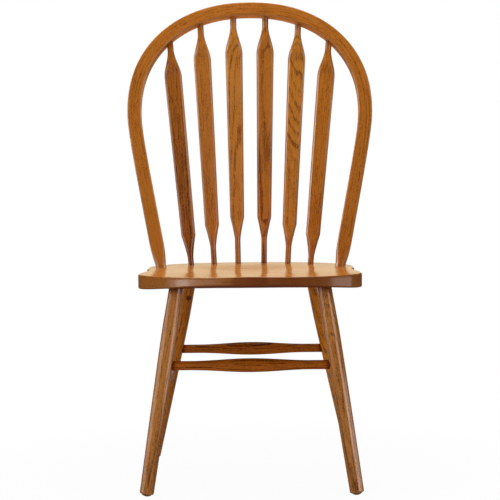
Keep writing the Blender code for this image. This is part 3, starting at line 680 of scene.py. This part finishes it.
# %% Build the legs
def turned(height, radius, sides):
    """Rings of a turning: (radius cos t, radius sin t, height) for even steps of t."""
    turn = 2.0 * math.pi * np.arange(sides) / sides
    circle = np.stack([np.cos(turn), np.sin(turn)], axis=-1)
    return along_stick(radius[:, None, None] * circle, height)


def leg_radius(height, low, swell, chamfer):
    """A chamfered foot, a sine rise to the swell, and an ease down to the top."""
    risen = np.clip((height - low - chamfer) / (swell - low - chamfer), 0.0, 1.0)
    fall = ease((height - swell) / LEG_SWELL_DROP)
    widths = (LEG_FOOT_DIAMETER, LEG_SWELL_DIAMETER, LEG_TOP_DIAMETER)
    width = in_turn(widths, np.sin(math.pi / 2.0 * risen), fall)
    return width / 2.0 - np.clip(chamfer - (height - low), 0.0, chamfer)


def build_leg(row, side):
    """Turn one leg on its axis, from above its glide to the end of its tenon in the seat."""
    node = f"{row}_leg_{side}"
    foot, top = leg_axis(row, side)
    length = np.linalg.norm(top - foot)
    low = glide_tip(foot, top) + GLIDE_HEIGHT + JOINT_GAP
    chamfer = LEG_FOOT_CHAMFERS[row]
    foot_end = low + np.linspace(0.0, chamfer, LEG_CHAMFER_RINGS)
    height = np.concatenate([foot_end, np.linspace(low + LEG_FOOT_EVEN, length + LEG_TENON, LEG_STATIONS)])
    local = turned(height, leg_radius(height, low, length - LEG_SWELL_DROP, chamfer), LEG_SIDES)
    edge = near(height, low + chamfer, LEG_EDGE_REACH)
    joint = near(height, length, LEG_JOINT_REACH)
    rings = foot + local @ stick_frame(foot, top)
    log_place = in_log(local, LEG_CUTS[node], LEG_LEANS_FROM.get(node, 0.0))
    return add_piece(node, rings, log_place, edge, joint)


leg_pieces = {f"{row}_leg_{side}": build_leg(row, side) for row, side in LEG_PLACES}

# %% [markdown]
# ## The stretchers
# Four turned stretchers tie the legs into a box. Each is 19 mm thick where it enters a leg and swells to
# nearly 29 mm in the middle. The side ones sit lower, so that the sockets in a leg do not meet. Stretched
# copies of one turning would stretch the grain too, so each is turned to its own length.

# %% Build the stretchers
STRETCHERS = {
    "front_stretcher": (("front", "left"), ("front", "right"), 0.265),
    "rear_stretcher": (("back", "left"), ("back", "right"), 0.261),
    "left_stretcher": (("front", "left"), ("back", "left"), 0.221),
    "right_stretcher": (("front", "right"), ("back", "right"), 0.221),
}
STRETCHER_CUTS = (
    (0.030, 0.050, 0.000, 0.010, 33.5),
    (0.060, 0.040, 0.000, 0.008, 36.1),
    (0.020, 0.050, 0.000, 0.015, 39.4),
    (0.045, 0.030, 0.000, 0.012, 42.8),
)
STRETCHER_END_DIAMETER = 0.0190
STRETCHER_DIAMETER = 0.0287
STRETCHER_PLAIN_END = 0.052
STRETCHER_AXIS_STOP = 0.001
STRETCHER_JOINT_REACH = 0.005
STRETCHER_STATIONS = 180
STRETCHER_SIDES = 48


def on_leg(row, side, height):
    """The point of a leg's axis at one height above the floor."""
    foot, top = leg_axis(row, side)
    return foot + (top - foot) * height / top[2]


def build_stretcher(node, cut, start, end):
    """Turn one stretcher: plain ends, and a bulge that grows with the squared cosine of its share."""
    length = np.linalg.norm(end - start)
    height = np.linspace(STRETCHER_AXIS_STOP, length - STRETCHER_AXIS_STOP, STRETCHER_STATIONS)
    share = np.clip((height - length / 2.0) / (length / 2.0 - STRETCHER_PLAIN_END), -1.0, 1.0)
    bulge = np.cos(math.pi / 2.0 * share) ** 2
    radius = part_way(STRETCHER_END_DIAMETER, STRETCHER_DIAMETER, bulge) / 2.0
    local = turned(height, radius, STRETCHER_SIDES)
    from_leg = np.minimum(height, length - height)
    joint = near(from_leg, LEG_SWELL_DIAMETER / 2.0, STRETCHER_JOINT_REACH)
    rings = start + local @ stick_frame(start, end)
    return add_piece(node, rings, in_log(local, cut), np.zeros(joint.shape), joint)


stretcher_pieces = {
    node: build_stretcher(node, cut, on_leg(*first, height), on_leg(*second, height))
    for (node, (first, second, height)), cut in zip(STRETCHERS.items(), STRETCHER_CUTS)
}

# %% [markdown]
# ## The glides
# Under each foot a nylon glide is nailed on. It is a low dome, 20 mm across, that the floor has worn flat
# where it stands. A sphere cut with a Boolean would do. Lifting every point of the turned dome that lies
# below the floor up to the floor gives the same worn spot with no cutter.

# %% Build the glides
NAIL_DIAMETER = 0.003
NAIL_LENGTH = 0.0137
GLIDE_SIDES = 48
DOME_SHARES = np.linspace(0.02, 1.0, 28)
GLIDE_EDGE_EASE = 0.0004
GLIDE_SCUFF_REACH = 0.0012


def build_glide(row, side):
    """Turn a spherical dome, its rim, its flat top and its nail, and press it level with the floor."""
    foot, top = leg_axis(row, side)
    tip = glide_tip(foot, top)
    rim, nail = GLIDE_DIAMETER / 2.0, NAIL_DIAMETER / 2.0
    turn = math.asin(rim / DOME_RADIUS) * DOME_SHARES
    radius = np.concatenate([DOME_RADIUS * np.sin(turn), [rim, rim - GLIDE_EDGE_EASE, nail, nail]])
    dome = tip + DOME_RADIUS * (1.0 - np.cos(turn))
    face = tip + GLIDE_HEIGHT
    height = np.concatenate([dome, [face - GLIDE_EDGE_EASE, face, face, face + NAIL_LENGTH]])
    local = turned(height, radius, GLIDE_SIDES)
    rings = foot + local @ stick_frame(foot, top)
    rings[..., 2] = np.maximum(rings[..., 2], 0.0)
    edge = near(height, tip, GLIDE_SCUFF_REACH)
    return add_piece(f"{row}_glide_{side}", rings, local, edge, np.zeros(edge.shape))


glide_pieces = [build_glide(row, side) for row, side in LEG_PLACES]

# %% [markdown]
# ## Writing shader maths as sums
# A finish is a long sum of noises and bands. Wired by hand in the node editor it is a tangle, and node by
# node in Python a page of calls. A small class that wraps a socket makes each sum one line: adding or
# multiplying two wires places the Math node and returns its result as another wire.

# %% A wire that can be used in sums
class Wire:
    """A value inside a shader. Sums of wires, or of wires and numbers, add Math nodes."""

    def __init__(self, tree, socket=None):
        self.tree = tree
        self.socket = socket

    def node(self, kind, sockets=None, output=0, **settings):
        """Add any node: its settings first, then a number or a wire for each socket. Gives one output."""
        made = self.tree.nodes.new("ShaderNode" + kind)
        for name, value in settings.items():
            if name == "stops":
                lay_stops(made.color_ramp.elements, value)
            else:
                setattr(made, name, value)
        for name, value in (sockets or {}).items():
            if isinstance(value, Wire):
                value.into(made, name)
            else:
                made.inputs[name].default_value = value
        return Wire(self.tree, made.outputs[output])

    def into(self, node, name):
        """Lead this wire to a node's socket."""
        self.tree.links.new(self.socket, node.inputs[name])

    def maths(self, operation, first, second=0.0):
        """One Math node."""
        return self.node("Math", {0: first, 1: second}, operation=operation)

    def __add__(self, other):
        return self.maths("ADD", self, other)

    __radd__ = __add__

    def __sub__(self, other):
        return self.maths("SUBTRACT", self, other)

    def __rsub__(self, other):
        return self.maths("SUBTRACT", other, self)

    def __mul__(self, other):
        return self.maths("MULTIPLY", self, other)

    __rmul__ = __mul__

    def __truediv__(self, other):
        return self.maths("DIVIDE", self, other)

    def __pow__(self, other):
        return self.maths("POWER", self, other)


# %% Helpers for finishes
def lay_stops(elements, stops):
    """Give a colour ramp its stops, each a position and a colour."""
    while len(elements) < len(stops):
        elements.new(1.0)
    for element, (position, colour) in zip(elements, stops):
        element.position = position
        element.color = (*colour, 1.0)


def between(value, low, high):
    """0 below low, 1 above high, and a smooth step between them."""
    sockets = {"Value": value, "From Min": low, "From Max": high}
    return value.node("MapRange", sockets, interpolation_type="SMOOTHSTEP")


def vector_maths(operation, values, output="Vector"):
    """One Vector Math node on a wire and on what else it needs, wires or plain vectors."""
    return values[0].node("VectorMath", dict(enumerate(values)), output, operation=operation)


def part_of(place, axis):
    """One of the three numbers of a place."""
    return place.node("SeparateXYZ", {0: place}, axis)


def noise(place, stretch, detail=2.0):
    """Soft noise from about -0.5 to 0.5; stretch is the lumps in a metre across, deep and along."""
    scaled = vector_maths("MULTIPLY", (place, stretch))
    return place.node("TexNoise", {"Vector": scaled, "Scale": 1.0, "Detail": detail}) - 0.5


def chance(number, output):
    """A value or a colour drawn for a whole number, the same each time for the same number."""
    return number.node("TexWhiteNoise", {"W": number}, output, noise_dimensions="1D")


def mixed(factor, first, second):
    """A colour that goes from first to second as the factor goes from 0 to 1."""
    return factor.node("Mix", {0: factor, 6: first, 7: second}, 2, data_type="RGBA")


def stored(start, name, output="Fac"):
    """What a piece stores at each of its points under a name."""
    return start.node("Attribute", None, output, attribute_name=name)


def new_finish(name):
    """A new material, a wire to start its sums from, and its shader."""
    finish = bpy.data.materials.new(name)
    finish.use_nodes = True
    return finish, Wire(finish.node_tree), finish.node_tree.nodes["Principled BSDF"]


print("wires can be used with + - * / and **")

# %% [markdown]
# ## Golden oak under lacquer
# Oak grows a band of large pores every spring. Stain settles in them, so the spring bands turn dark and
# the summer wood between them stays golden. The distance from the heart of the log, divided by a ring's
# width, says in which ring a point lies and how far through it. Noise bends the rings, streaks run along
# the grain, and short dark dashes are the pores. An image would repeat on every piece. A formula in the
# log's own frame makes the figure run through the piece, round its edges and out of its ends.

# %% The figure of oak
RING_WIDTH = 0.0034
BEND_SCALE, BEND_SIZE = (16.0, 16.0, 3.0), 0.009
RIPPLE_SCALE, RIPPLE_SIZE = (85.0, 85.0, 9.0), 0.0024
BAND_RISES, BAND_FADES = (0.0, 0.12), (0.18, 0.60)
WEAKEST_BAND = 0.15
FIBRE_SCALE, FIBRE_IN_BANDS, FIBRE_IN_STREAKS = (720.0, 720.0, 40.0), 1.8, 0.9
BAND_LEVEL = 0.9
STREAK_SCALE, STREAK_DETAIL = (320.0, 320.0, 16.0), 3.0
FLECK_SCALE, FLECK_LEVELS, FLECKS_IN_BANDS = (740.0, 740.0, 250.0), (-0.12, 0.18), 0.4
PORE_SCALE, PORE_LEVELS, PORES_IN_BANDS = (1400.0, 1400.0, 110.0), (0.04, 0.14), 0.6
CLOUD_SCALE = (24.0, 24.0, 7.0)
FINE_DETAIL = 1.0


def oak_figure(place):
    """How dark the spring bands, streaks, flecks, pores and clouds are at a place in the log.

    Ring number = (distance from the heart + bend + ripple) / ring width. A band rises steeply where a ring
    starts and fades through its first half. Each ring has its own strength.
    """
    across, deep = part_of(place, 0), part_of(place, 1)
    distance = (across * across + deep * deep) ** 0.5
    bent = distance + noise(place, BEND_SCALE) * BEND_SIZE + noise(place, RIPPLE_SCALE) * RIPPLE_SIZE
    ring = bent / RING_WIDTH
    through = ring.maths("FRACT", ring)
    strength = chance(ring.maths("FLOOR", ring), "Value") * (1.0 - WEAKEST_BAND) + WEAKEST_BAND
    fibre = noise(place, FIBRE_SCALE, FINE_DETAIL)
    band = between(through, *BAND_RISES) * (1.0 - between(through, *BAND_FADES))
    spring = band * strength * (fibre * FIBRE_IN_BANDS + BAND_LEVEL)
    streaks = noise(place, STREAK_SCALE, STREAK_DETAIL) + fibre * FIBRE_IN_STREAKS
    flecks = between(noise(place, FLECK_SCALE, FINE_DETAIL), *FLECK_LEVELS)
    flecks = flecks * (spring * FLECKS_IN_BANDS + (1.0 - FLECKS_IN_BANDS))
    pores = between(noise(place, PORE_SCALE, FINE_DETAIL), *PORE_LEVELS)
    pores = pores * (spring * PORES_IN_BANDS + (1.0 - PORES_IN_BANDS))
    return spring, streaks, flecks, pores, noise(place, CLOUD_SCALE)


print("growth rings in 100 mm of this oak:", round(0.1 / RING_WIDTH))

# %% Glued boards
BOARD_WIDTH = 0.094
BOARD_SPREAD = (0.11, 0.05, 3.0)
BOARD_FROM_HEART = (-0.26, 0.03, 50.0)
GLUE_LINE = 0.0004


def in_boards(place):
    """The place in each glued board's own log, and a wire that is 1 on the glue lines.

    Across the grain, the place divided by the board's width gives the board's number. A chance vector for
    each number moves that board to its own place in a log.
    """
    across = part_of(place, 0) / BOARD_WIDTH
    from_middle = across.maths("ABSOLUTE", across.maths("FRACT", across) - 0.5)
    line = GLUE_LINE / BOARD_WIDTH
    glue = between(from_middle, 0.5 - 1.5 * line, 0.5 - 0.5 * line)
    drawn = chance(across.maths("FLOOR", across), "Color")
    moved = vector_maths("MULTIPLY_ADD", (drawn, BOARD_SPREAD, place))
    return vector_maths("ADD", (moved, BOARD_FROM_HEART)), glue


print("boards in the seat: about", round(SEAT_DEPTH / BOARD_WIDTH))

# %% [markdown]
# ## Stain and lacquer
# A finisher wipes stain into the bare oak and sprays lacquer over it. The stain gathers at joints and in
# sawn edges, hands wear it off the corners, and the underside gets hardly any lacquer. The same marks
# also lay a painted sheen on worn corners and painted shade at the spindles' necks and on the seat's wall.
# A ramp of three colours would do for flat veneer. Here the edges and joints that the pieces store are laid
# over it.

# %% The finish of oak
SPRING_DEPTH, STREAK_DEPTH, CLOUD_DEPTH, FLECK_DEPTH, PLAIN_DEPTH = 0.95, 1.40, 0.70, 0.85, -0.12
STAIN_STOPS = (0.0, 0.55, 1.0)
# The worn-edge colour stands for real wear and for a painted sheen on the corners.
WORN_EDGE_AND_SHEEN = (0.72, 0.36, 0.14, 1.0)
GATHERED_STAIN_AND_SHADE = (0.16, 0.020, 0.001, 1.0)
PORE_SHOWS, WEAR_AND_SHEEN_SHOWS, STAIN_AND_SHADE_SHOWS, GLUE_SHOWS = 0.25, 0.32, 0.95, 0.5
SAWN_HIDES_BANDS = 0.62
KNOT_RADIUS, KNOT_CORE, KNOT_DEPTH = 0.0075, 0.35, 1.5
WOOD_ROUGHNESS, PORE_ROUGHNESS, GRAIN_ROUGHNESS, EDGE_ROUGHNESS = 0.42, 0.10, 0.06, 0.04
STREAK_RELIEF, PORE_RELIEF, FLECK_RELIEF, SPRING_RELIEF = 0.20, 0.5, 0.4, 0.15
WOOD_BUMP = {"Strength": 0.25, "Distance": 0.0004}
EDGE_GLOSS, PORE_GLOSS = 0.4, 0.10
BARE_FROM, BARE_DULLS = (0.93, 0.98), 0.9
LACQUER_ROUGHNESS = 0.17
WOOD_SHEEN = 0.0


def oak_finish(name, stain, lacquer, boldness, boards=False, knot=None, heartwood=None):
    """Stained and lacquered oak.

    stain gives the colours of summer wood, spring wood and filled pores. lacquer is the gloss's weight and
    boldness that of the bands. boards glues the piece up from boards. knot is a dark knot's place in the
    log. heartwood gives two heights in the log and how much darker the wood is below them.
    """
    finish, start, shader = new_finish(name)
    place = stored(start, "log_place", "Vector")
    edge, gathered = stored(start, "edge"), stored(start, "gathered")
    if boards:
        place, glue = in_boards(place)
    spring, streaks, flecks, pores, clouds = oak_figure(place)
    if boards:
        spring = spring * (1.0 - between(gathered, 0.0, SAWN_HIDES_BANDS))
    dark = spring * (SPRING_DEPTH * boldness) + streaks * STREAK_DEPTH + flecks * FLECK_DEPTH
    dark = dark + clouds * CLOUD_DEPTH + PLAIN_DEPTH
    if knot:
        away = vector_maths("DISTANCE", (place, knot), "Value")
        dark = dark + (1.0 - between(away, KNOT_RADIUS * KNOT_CORE, KNOT_RADIUS)) * KNOT_DEPTH
    if heartwood:
        low, high, depth = heartwood
        dark = dark + (1.0 - between(part_of(place, 2), low, high)) * depth
    colour = dark.node("ValToRGB", {0: dark}, stops=tuple(zip(STAIN_STOPS, stain)))
    colour = mixed(pores * PORE_SHOWS, colour, (*stain[2], 1.0))
    # Edges are lightened for wear and for a painted sheen where the lacquer would catch the lamps.
    colour = mixed(edge * WEAR_AND_SHEEN_SHOWS, colour, WORN_EDGE_AND_SHEEN)
    # Stored stain darkens joints and sawn wood; at the spindles' necks and on the seat's wall it is painted
    # shade.
    colour = mixed(gathered * STAIN_AND_SHADE_SHOWS, colour, GATHERED_STAIN_AND_SHADE)
    if boards:
        colour = mixed(glue * GLUE_SHOWS, colour, GATHERED_STAIN_AND_SHADE)
    rough = pores * PORE_ROUGHNESS + (flecks + streaks) * GRAIN_ROUGHNESS + edge * EDGE_ROUGHNESS
    relief = streaks * STREAK_RELIEF - pores * PORE_RELIEF - flecks * FLECK_RELIEF - spring * SPRING_RELIEF
    bare = between(gathered, *BARE_FROM)
    gloss = bare.maths("MINIMUM", edge * EDGE_GLOSS - pores * PORE_GLOSS + lacquer, 1.0)
    colour.into(shader, "Base Color")
    (rough + WOOD_ROUGHNESS).into(shader, "Roughness")
    start.node("Bump", {**WOOD_BUMP, "Height": relief}, "Normal").into(shader, "Normal")
    (gloss * (1.0 - bare * BARE_DULLS)).into(shader, "Coat Weight")
    shader.inputs["Coat Roughness"].default_value = LACQUER_ROUGHNESS
    shader.inputs["Specular IOR Level"].default_value = WOOD_SHEEN
    return finish


# %% Stains, from the summer wood to the filled pores
SEAT_STAIN = ((0.71, 0.264, 0.044), (0.54, 0.184, 0.028), (0.265, 0.075, 0.010))
HOOP_STAIN = ((0.575, 0.190, 0.025), (0.40, 0.119, 0.0145), (0.156, 0.042, 0.0068))
GOLDEN = ((0.66, 0.219, 0.023), (0.46, 0.140, 0.014), (0.23, 0.062, 0.007))
PALE_GOLDEN = ((0.75, 0.278, 0.033), (0.54, 0.180, 0.020), (0.29, 0.087, 0.012))
DARK = ((0.51, 0.158, 0.016), (0.33, 0.091, 0.008), (0.12, 0.031, 0.003))
LEG_STAIN = ((0.75, 0.293, 0.062), (0.53, 0.187, 0.037), (0.22, 0.064, 0.014))
# Painted light: the back legs' stains are lit and shaded copies of the leg oak, the right one much lighter
# than the left, as if it stood in more light.
BACK_LEFT_STAIN_PAINTED_LIGHT = ((0.76, 0.235, 0.010), (0.54, 0.150, 0.006), (0.18, 0.042, 0.002))
BACK_RIGHT_STAIN_PAINTED_LIGHT = ((0.98, 0.330, 0.014), (0.74, 0.212, 0.008), (0.26, 0.062, 0.003))
RAIL_STAIN = ((0.56, 0.146, 0.011), (0.36, 0.085, 0.007), (0.09, 0.019, 0.002))
LEG_STAINS = (LEG_STAIN, LEG_STAIN, BACK_LEFT_STAIN_PAINTED_LIGHT, BACK_RIGHT_STAIN_PAINTED_LIGHT)
SPINDLE_STAINS = (DARK, GOLDEN, PALE_GOLDEN, GOLDEN, PALE_GOLDEN, GOLDEN)
print("spindles in the pale stain:", SPINDLE_STAINS.count(PALE_GOLDEN))

# %% Dress the wooden pieces
SEAT_LACQUER, HOOP_LACQUER, STICK_LACQUER, LEG_LACQUER, RAIL_LACQUER = 0.85, 0.35, 0.90, 0.92, 0.35
SEAT_BOLDNESS, HOOP_BOLDNESS, RAIL_BOLDNESS = 0.6, 0.3, 1.1
SPINDLE_BOLDNESS = (0.55, 0.5, 0.9, 1.0, 1.1, 0.5)
LEG_BOLDNESS = (0.5, 0.7, 0.7, 1.1)
DARK_SPINDLE_HEART = (0.25, 0.46, 0.32)
FRONT_LEG_HEART = (0.05, 0.36, 0.22)
PALE_HOOP_FOOT = (0.04, 0.32, -0.42)
KNOT_ON_LEG = (0.0058, -0.0134, 0.411)


def heart_of(cut, heartwood):
    """Two heights up a stick as heights in its log, and how much darker the wood is below them."""
    low, high, depth = heartwood
    return cut[-1] + low, cut[-1] + high, depth


def dress(piece, name, *choices, **more):
    """Give a piece its own oak finish."""
    piece.data.materials.append(oak_finish(name, *choices, **more))


dress(seat_piece, "seat_oak", SEAT_STAIN, SEAT_LACQUER, SEAT_BOLDNESS, boards=True)
hoop_foot = heart_of(HOOP_CUT, PALE_HOOP_FOOT)
dress(hoop_piece, "hoop_oak", HOOP_STAIN, HOOP_LACQUER, HOOP_BOLDNESS, heartwood=hoop_foot)
for number, piece in enumerate(spindle_pieces):
    stain, boldness = SPINDLE_STAINS[number], SPINDLE_BOLDNESS[number]
    heart = heart_of(SPINDLE_CUTS[number], DARK_SPINDLE_HEART) if stain is DARK else None
    dress(piece, f"spindle_oak_{number + 1}", stain, STICK_LACQUER, boldness, heartwood=heart)
for (node, piece), stain, boldness in zip(leg_pieces.items(), LEG_STAINS, LEG_BOLDNESS):
    cut = LEG_CUTS[node]
    knot = tuple(in_log(np.array(KNOT_ON_LEG), cut)) if node == "back_leg_left" else None
    heart = heart_of(cut, FRONT_LEG_HEART) if node.startswith("front") else None
    dress(piece, node + "_oak", stain, LEG_LACQUER, boldness, knot=knot, heartwood=heart)
for node, piece in stretcher_pieces.items():
    dress(piece, node + "_oak", RAIL_STAIN, RAIL_LACQUER, RAIL_BOLDNESS)
print("oak finishes:", len([finish for finish in bpy.data.materials if "oak" in finish.name]))

# %% [markdown]
# ## Worn nylon
# The glides are moulded in brown nylon, so they hardly show under the wood. The floor has scuffed them
# pale and rough under the dome, and the rest keeps a faint moulded grain. Painted scuffs would need a map.
# Here they follow the mark that each glide stores round its tip.

# %% The glide finish
NYLON_BROWN, NYLON_SCUFFED = (0.340, 0.140, 0.045, 1.0), (0.40, 0.24, 0.13, 1.0)
NYLON_GRAIN_SCALE = (2600.0, 2600.0, 2600.0)
SCRATCH_SCALE, SCRATCH_LEVELS, SCUFF_IN_SCRATCHES = (300.0, 2400.0, 300.0), (0.05, 0.25), 0.7
NYLON_ROUGHNESS, GRAIN_ROUGHENS, SCUFF_ROUGHENS = 0.42, 0.2, 0.25
NYLON_BUMP, SCRATCH_RELIEF = {"Strength": 0.3, "Distance": 0.0002}, 0.5


def nylon_finish():
    """Brown nylon with a fine grain, scuffed towards the tip of the dome."""
    finish, start, shader = new_finish("worn_nylon")
    place = start.node("TexCoord", None, "Object")
    grain = noise(place, NYLON_GRAIN_SCALE)
    scratch = between(noise(place, SCRATCH_SCALE), *SCRATCH_LEVELS)
    scuffed = stored(start, "edge") * (scratch * SCUFF_IN_SCRATCHES + (1.0 - SCUFF_IN_SCRATCHES))
    relief = grain - scratch * SCRATCH_RELIEF
    mixed(scuffed, NYLON_BROWN, NYLON_SCUFFED).into(shader, "Base Color")
    (grain * GRAIN_ROUGHENS + scuffed * SCUFF_ROUGHENS + NYLON_ROUGHNESS).into(shader, "Roughness")
    start.node("Bump", {**NYLON_BUMP, "Height": relief}, "Normal").into(shader, "Normal")
    return finish


nylon = nylon_finish()
for piece in glide_pieces:
    piece.data.materials.append(nylon)
print("glides dressed:", len(glide_pieces))

# %% [markdown]
# ## Floor and room
# The chair stands on a plain white sweep in a dim, even room. A bright lamp on the floor would whiten it,
# but bleach the legs too. So the white is shown only to rays that look straight at the floor and the room.
# The lacquer mirrors a cream white from behind the chair and hardly anything from before it, which keeps
# the front faces rich in colour.

# %% The floor
WHITE = (1.0, 1.0, 1.0, 1.0)
FLOOR_HALF = 14.0
FLOOR_PALE = (0.80, 0.80, 0.80, 1.0)
FLOOR_ROUGHNESS = 0.9
FLOOR_IN_LACQUER = 0.12
BEHIND_IN_LACQUER = 0.5
FAN_STARTS, FAN_EDGE, FAN_WIDENS = (0.4, 1.6), (0.2, 0.8), 0.3
SHADOW_REACH, SHADOW_SHOWS = (0.35, 0.9), 0.035


def light_paths(start):
    """Three wires that are 1 for rays from the camera, from a gloss and through a clear body."""
    kinds = ("Is Camera Ray", "Is Glossy Ray", "Is Transmission Ray")
    return [start.node("LightPath", None, kind) for kind in kinds]


def white_floor():
    """A pale floor that looks white in the picture and takes the chair's shadow.

    Near the chair a small share of the shaded floor shows through the white. A gloss sees half of that
    white in a fan that widens behind the chair, and a dim floor elsewhere.
    """
    finish, start, shader = new_finish("white_sweep")
    shader.inputs["Base Color"].default_value = FLOOR_PALE
    shader.inputs["Roughness"].default_value = FLOOR_ROUGHNESS
    shader.inputs["Specular IOR Level"].default_value = 0.0
    place = start.node("TexCoord", None, "Object")
    back = part_of(place, 1)
    aside = back.maths("ABSOLUTE", part_of(place, 0)) - back * FAN_WIDENS
    behind = between(back, *FAN_STARTS) * (1.0 - between(aside, *FAN_EDGE)) * BEHIND_IN_LACQUER
    away = vector_maths("LENGTH", (place,), "Value")
    camera, glossy, through = light_paths(start)
    seen = between(away, *SHADOW_REACH) * SHADOW_SHOWS + (1.0 - SHADOW_SHOWS)
    white = (camera + through) * seen + glossy * behind
    surface = Wire(start.tree, shader.outputs[0])
    for share, strength in ((white, 1.0), (glossy * (1.0 - behind), FLOOR_IN_LACQUER)):
        glow = start.node("Emission", {"Color": WHITE, "Strength": strength})
        surface = start.node("MixShader", {0: share, 1: surface, 2: glow})
    surface.into(start.tree.nodes["Material Output"], "Surface")
    return finish


corners = np.array([[-1.0, -1.0, 0.0], [1.0, -1.0, 0.0], [1.0, 1.0, 0.0], [-1.0, 1.0, 0.0]]) * FLOOR_HALF
floor_mesh = bpy.data.meshes.new("floor")
floor_mesh.from_pydata(corners, [], [(0, 1, 2, 3)])
floor_mesh.materials.append(white_floor())
floor = new_object("floor", floor_mesh)
floor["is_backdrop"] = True
print("the floor is", FLOOR_HALF * 2.0, "m wide")

# %% The room
ROOM_LEVEL = 0.36
ROOM_IN_LACQUER = 0.04
WARM_WHITE = (1.0, 0.90, 0.62, 1.0)
BACK_WALL = (0.90, 0.985)
CEILING, CEILING_DARKER = (0.10, 0.70), 0.85


def light_room():
    """A dim even room, darker overhead and white to the camera.

    The lacquer mirrors a cream white straight behind the chair and a dark room elsewhere.
    """
    world = bpy.data.worlds.new("studio")
    bpy.context.scene.world = world
    world.use_nodes = True
    start = Wire(world.node_tree)
    direction = start.node("TexCoord", None, "Generated")
    to_back = between(part_of(direction, 1), *BACK_WALL)
    upward = between(part_of(direction, 2), *CEILING)
    camera, glossy, through = light_paths(start)
    mirrored = glossy * (to_back * (1.0 - ROOM_IN_LACQUER) + ROOM_IN_LACQUER)
    walls = (1.0 - camera - glossy - through) * (1.0 - upward * CEILING_DARKER) * ROOM_LEVEL
    background = world.node_tree.nodes["Background"]
    (walls + camera + through + mirrored).into(background, "Strength")
    mixed(glossy, WHITE, WARM_WHITE).into(background, "Color")
    return world


print("room:", light_room().name)

# %% [markdown]
# ## Lamps and cards
# A wide lamp overhead gives most of the light, so the seat's top is brightest and the stretchers lie in
# its shade. A fill lightens the front, a weaker one the back, and a low bounce lifts the hoop alone. One
# large lamp would be simpler, but gloss needs more: a photographer stands white cards at the sides to draw
# long pale streaks on turned legs, and flags them off where they would wash out the seat. Here a card
# shows only in the gloss, and light linking is the flag: each card shines on chosen pieces.

# %% Light the chair
CHAIR_MIDDLE = (0.0, 0.0, 0.5)
LEG_MIDDLE = (0.0, -0.2, 0.2)
HOOP_CROWN = (0.0, 0.2, 1.0)


def only_on(name, pieces):
    """A group of pieces that a lamp may shine on, as if a flag shaded all the others."""
    group = bpy.data.collections.new(name)
    for piece in pieces:
        group.objects.link(piece)
    return group


def add_lamp(name, place, aim, size, power, diffuse=True, glossy=True, only=None):
    """A soft rectangular lamp at a place, turned towards another. It may shine on one group of pieces."""
    lamp = bpy.data.lights.new(name, "AREA")
    lamp.shape = "RECTANGLE"
    lamp.size, lamp.size_y = size
    lamp.energy = power
    holder = new_object(name, lamp)
    holder.location = place
    holder.rotation_euler = (Vector(aim) - Vector(place)).to_track_quat("-Z", "Y").to_euler()
    holder.visible_diffuse = diffuse
    holder.visible_glossy = glossy
    if only:
        holder.light_linking.receiver_collection = only


sticks = only_on("sticks", [hoop_piece, *spindle_pieces, *leg_pieces.values(), *stretcher_pieces.values()])
seat_alone = only_on("seat_alone", [seat_piece])
hoop_alone = only_on("hoop_alone", [hoop_piece])
add_lamp("overhead", (0.0, 0.1, 2.5), CHAIR_MIDDLE, (1.5, 1.3), 34.0)
add_lamp("front_fill", (-1.0, -3.1, 1.5), CHAIR_MIDDLE, (2.0, 1.2), 21.0, glossy=False)
add_lamp("back_fill", (1.2, 3.2, 1.6), CHAIR_MIDDLE, (2.0, 1.2), 9.0, glossy=False)
add_lamp("floor_bounce", (0.0, 0.32, 0.08), HOOP_CROWN, (1.0, 0.2), 5.0, glossy=False, only=hoop_alone)
for name, place, aim, size, power, pieces in (
    ("left_card", (-2.14, -0.50, 0.45), CHAIR_MIDDLE, (2.2, 1.0), 15.0, sticks),
    ("left_high_card", (-2.16, 0.10, 1.45), CHAIR_MIDDLE, (1.7, 1.0), 35.0, sticks),
    ("right_strip", (1.69, -1.41, 0.85), CHAIR_MIDDLE, (1.2, 2.0), 24.0, sticks),
    ("right_high_card", (2.2, 0.25, 1.45), CHAIR_MIDDLE, (1.0, 1.0), 14.0, sticks),
    ("right_low_card", (0.72, -0.35, 0.15), LEG_MIDDLE, (0.8, 0.3), 1.7, sticks),
    ("seat_left_card", (-0.82, -2.0, 0.20), CHAIR_MIDDLE, (1.05, 0.4), 2.1, seat_alone),
    ("seat_left_strip", (-0.89, -1.9, 0.20), CHAIR_MIDDLE, (0.3, 0.4), 2.2, seat_alone),
    ("seat_right_card", (1.69, -1.41, 0.20), CHAIR_MIDDLE, (1.2, 0.4), 4.2, seat_alone),
):
    add_lamp(name, place, aim, size, power, diffuse=False, only=pieces)
bpy.context.scene.view_settings.view_transform = "Standard"
print("lamps:", len(bpy.data.lights))

# %% [markdown]
# ## The finished box
# The finished chair has to stay in the box of the imported one. A ruler in the viewport would show one size
# at a time, so the finished box is printed here, as the imported one was after the import.

# %% Print the finished box
made_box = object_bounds()
print("finished box:", [trimmed(corner) for corner in made_box])
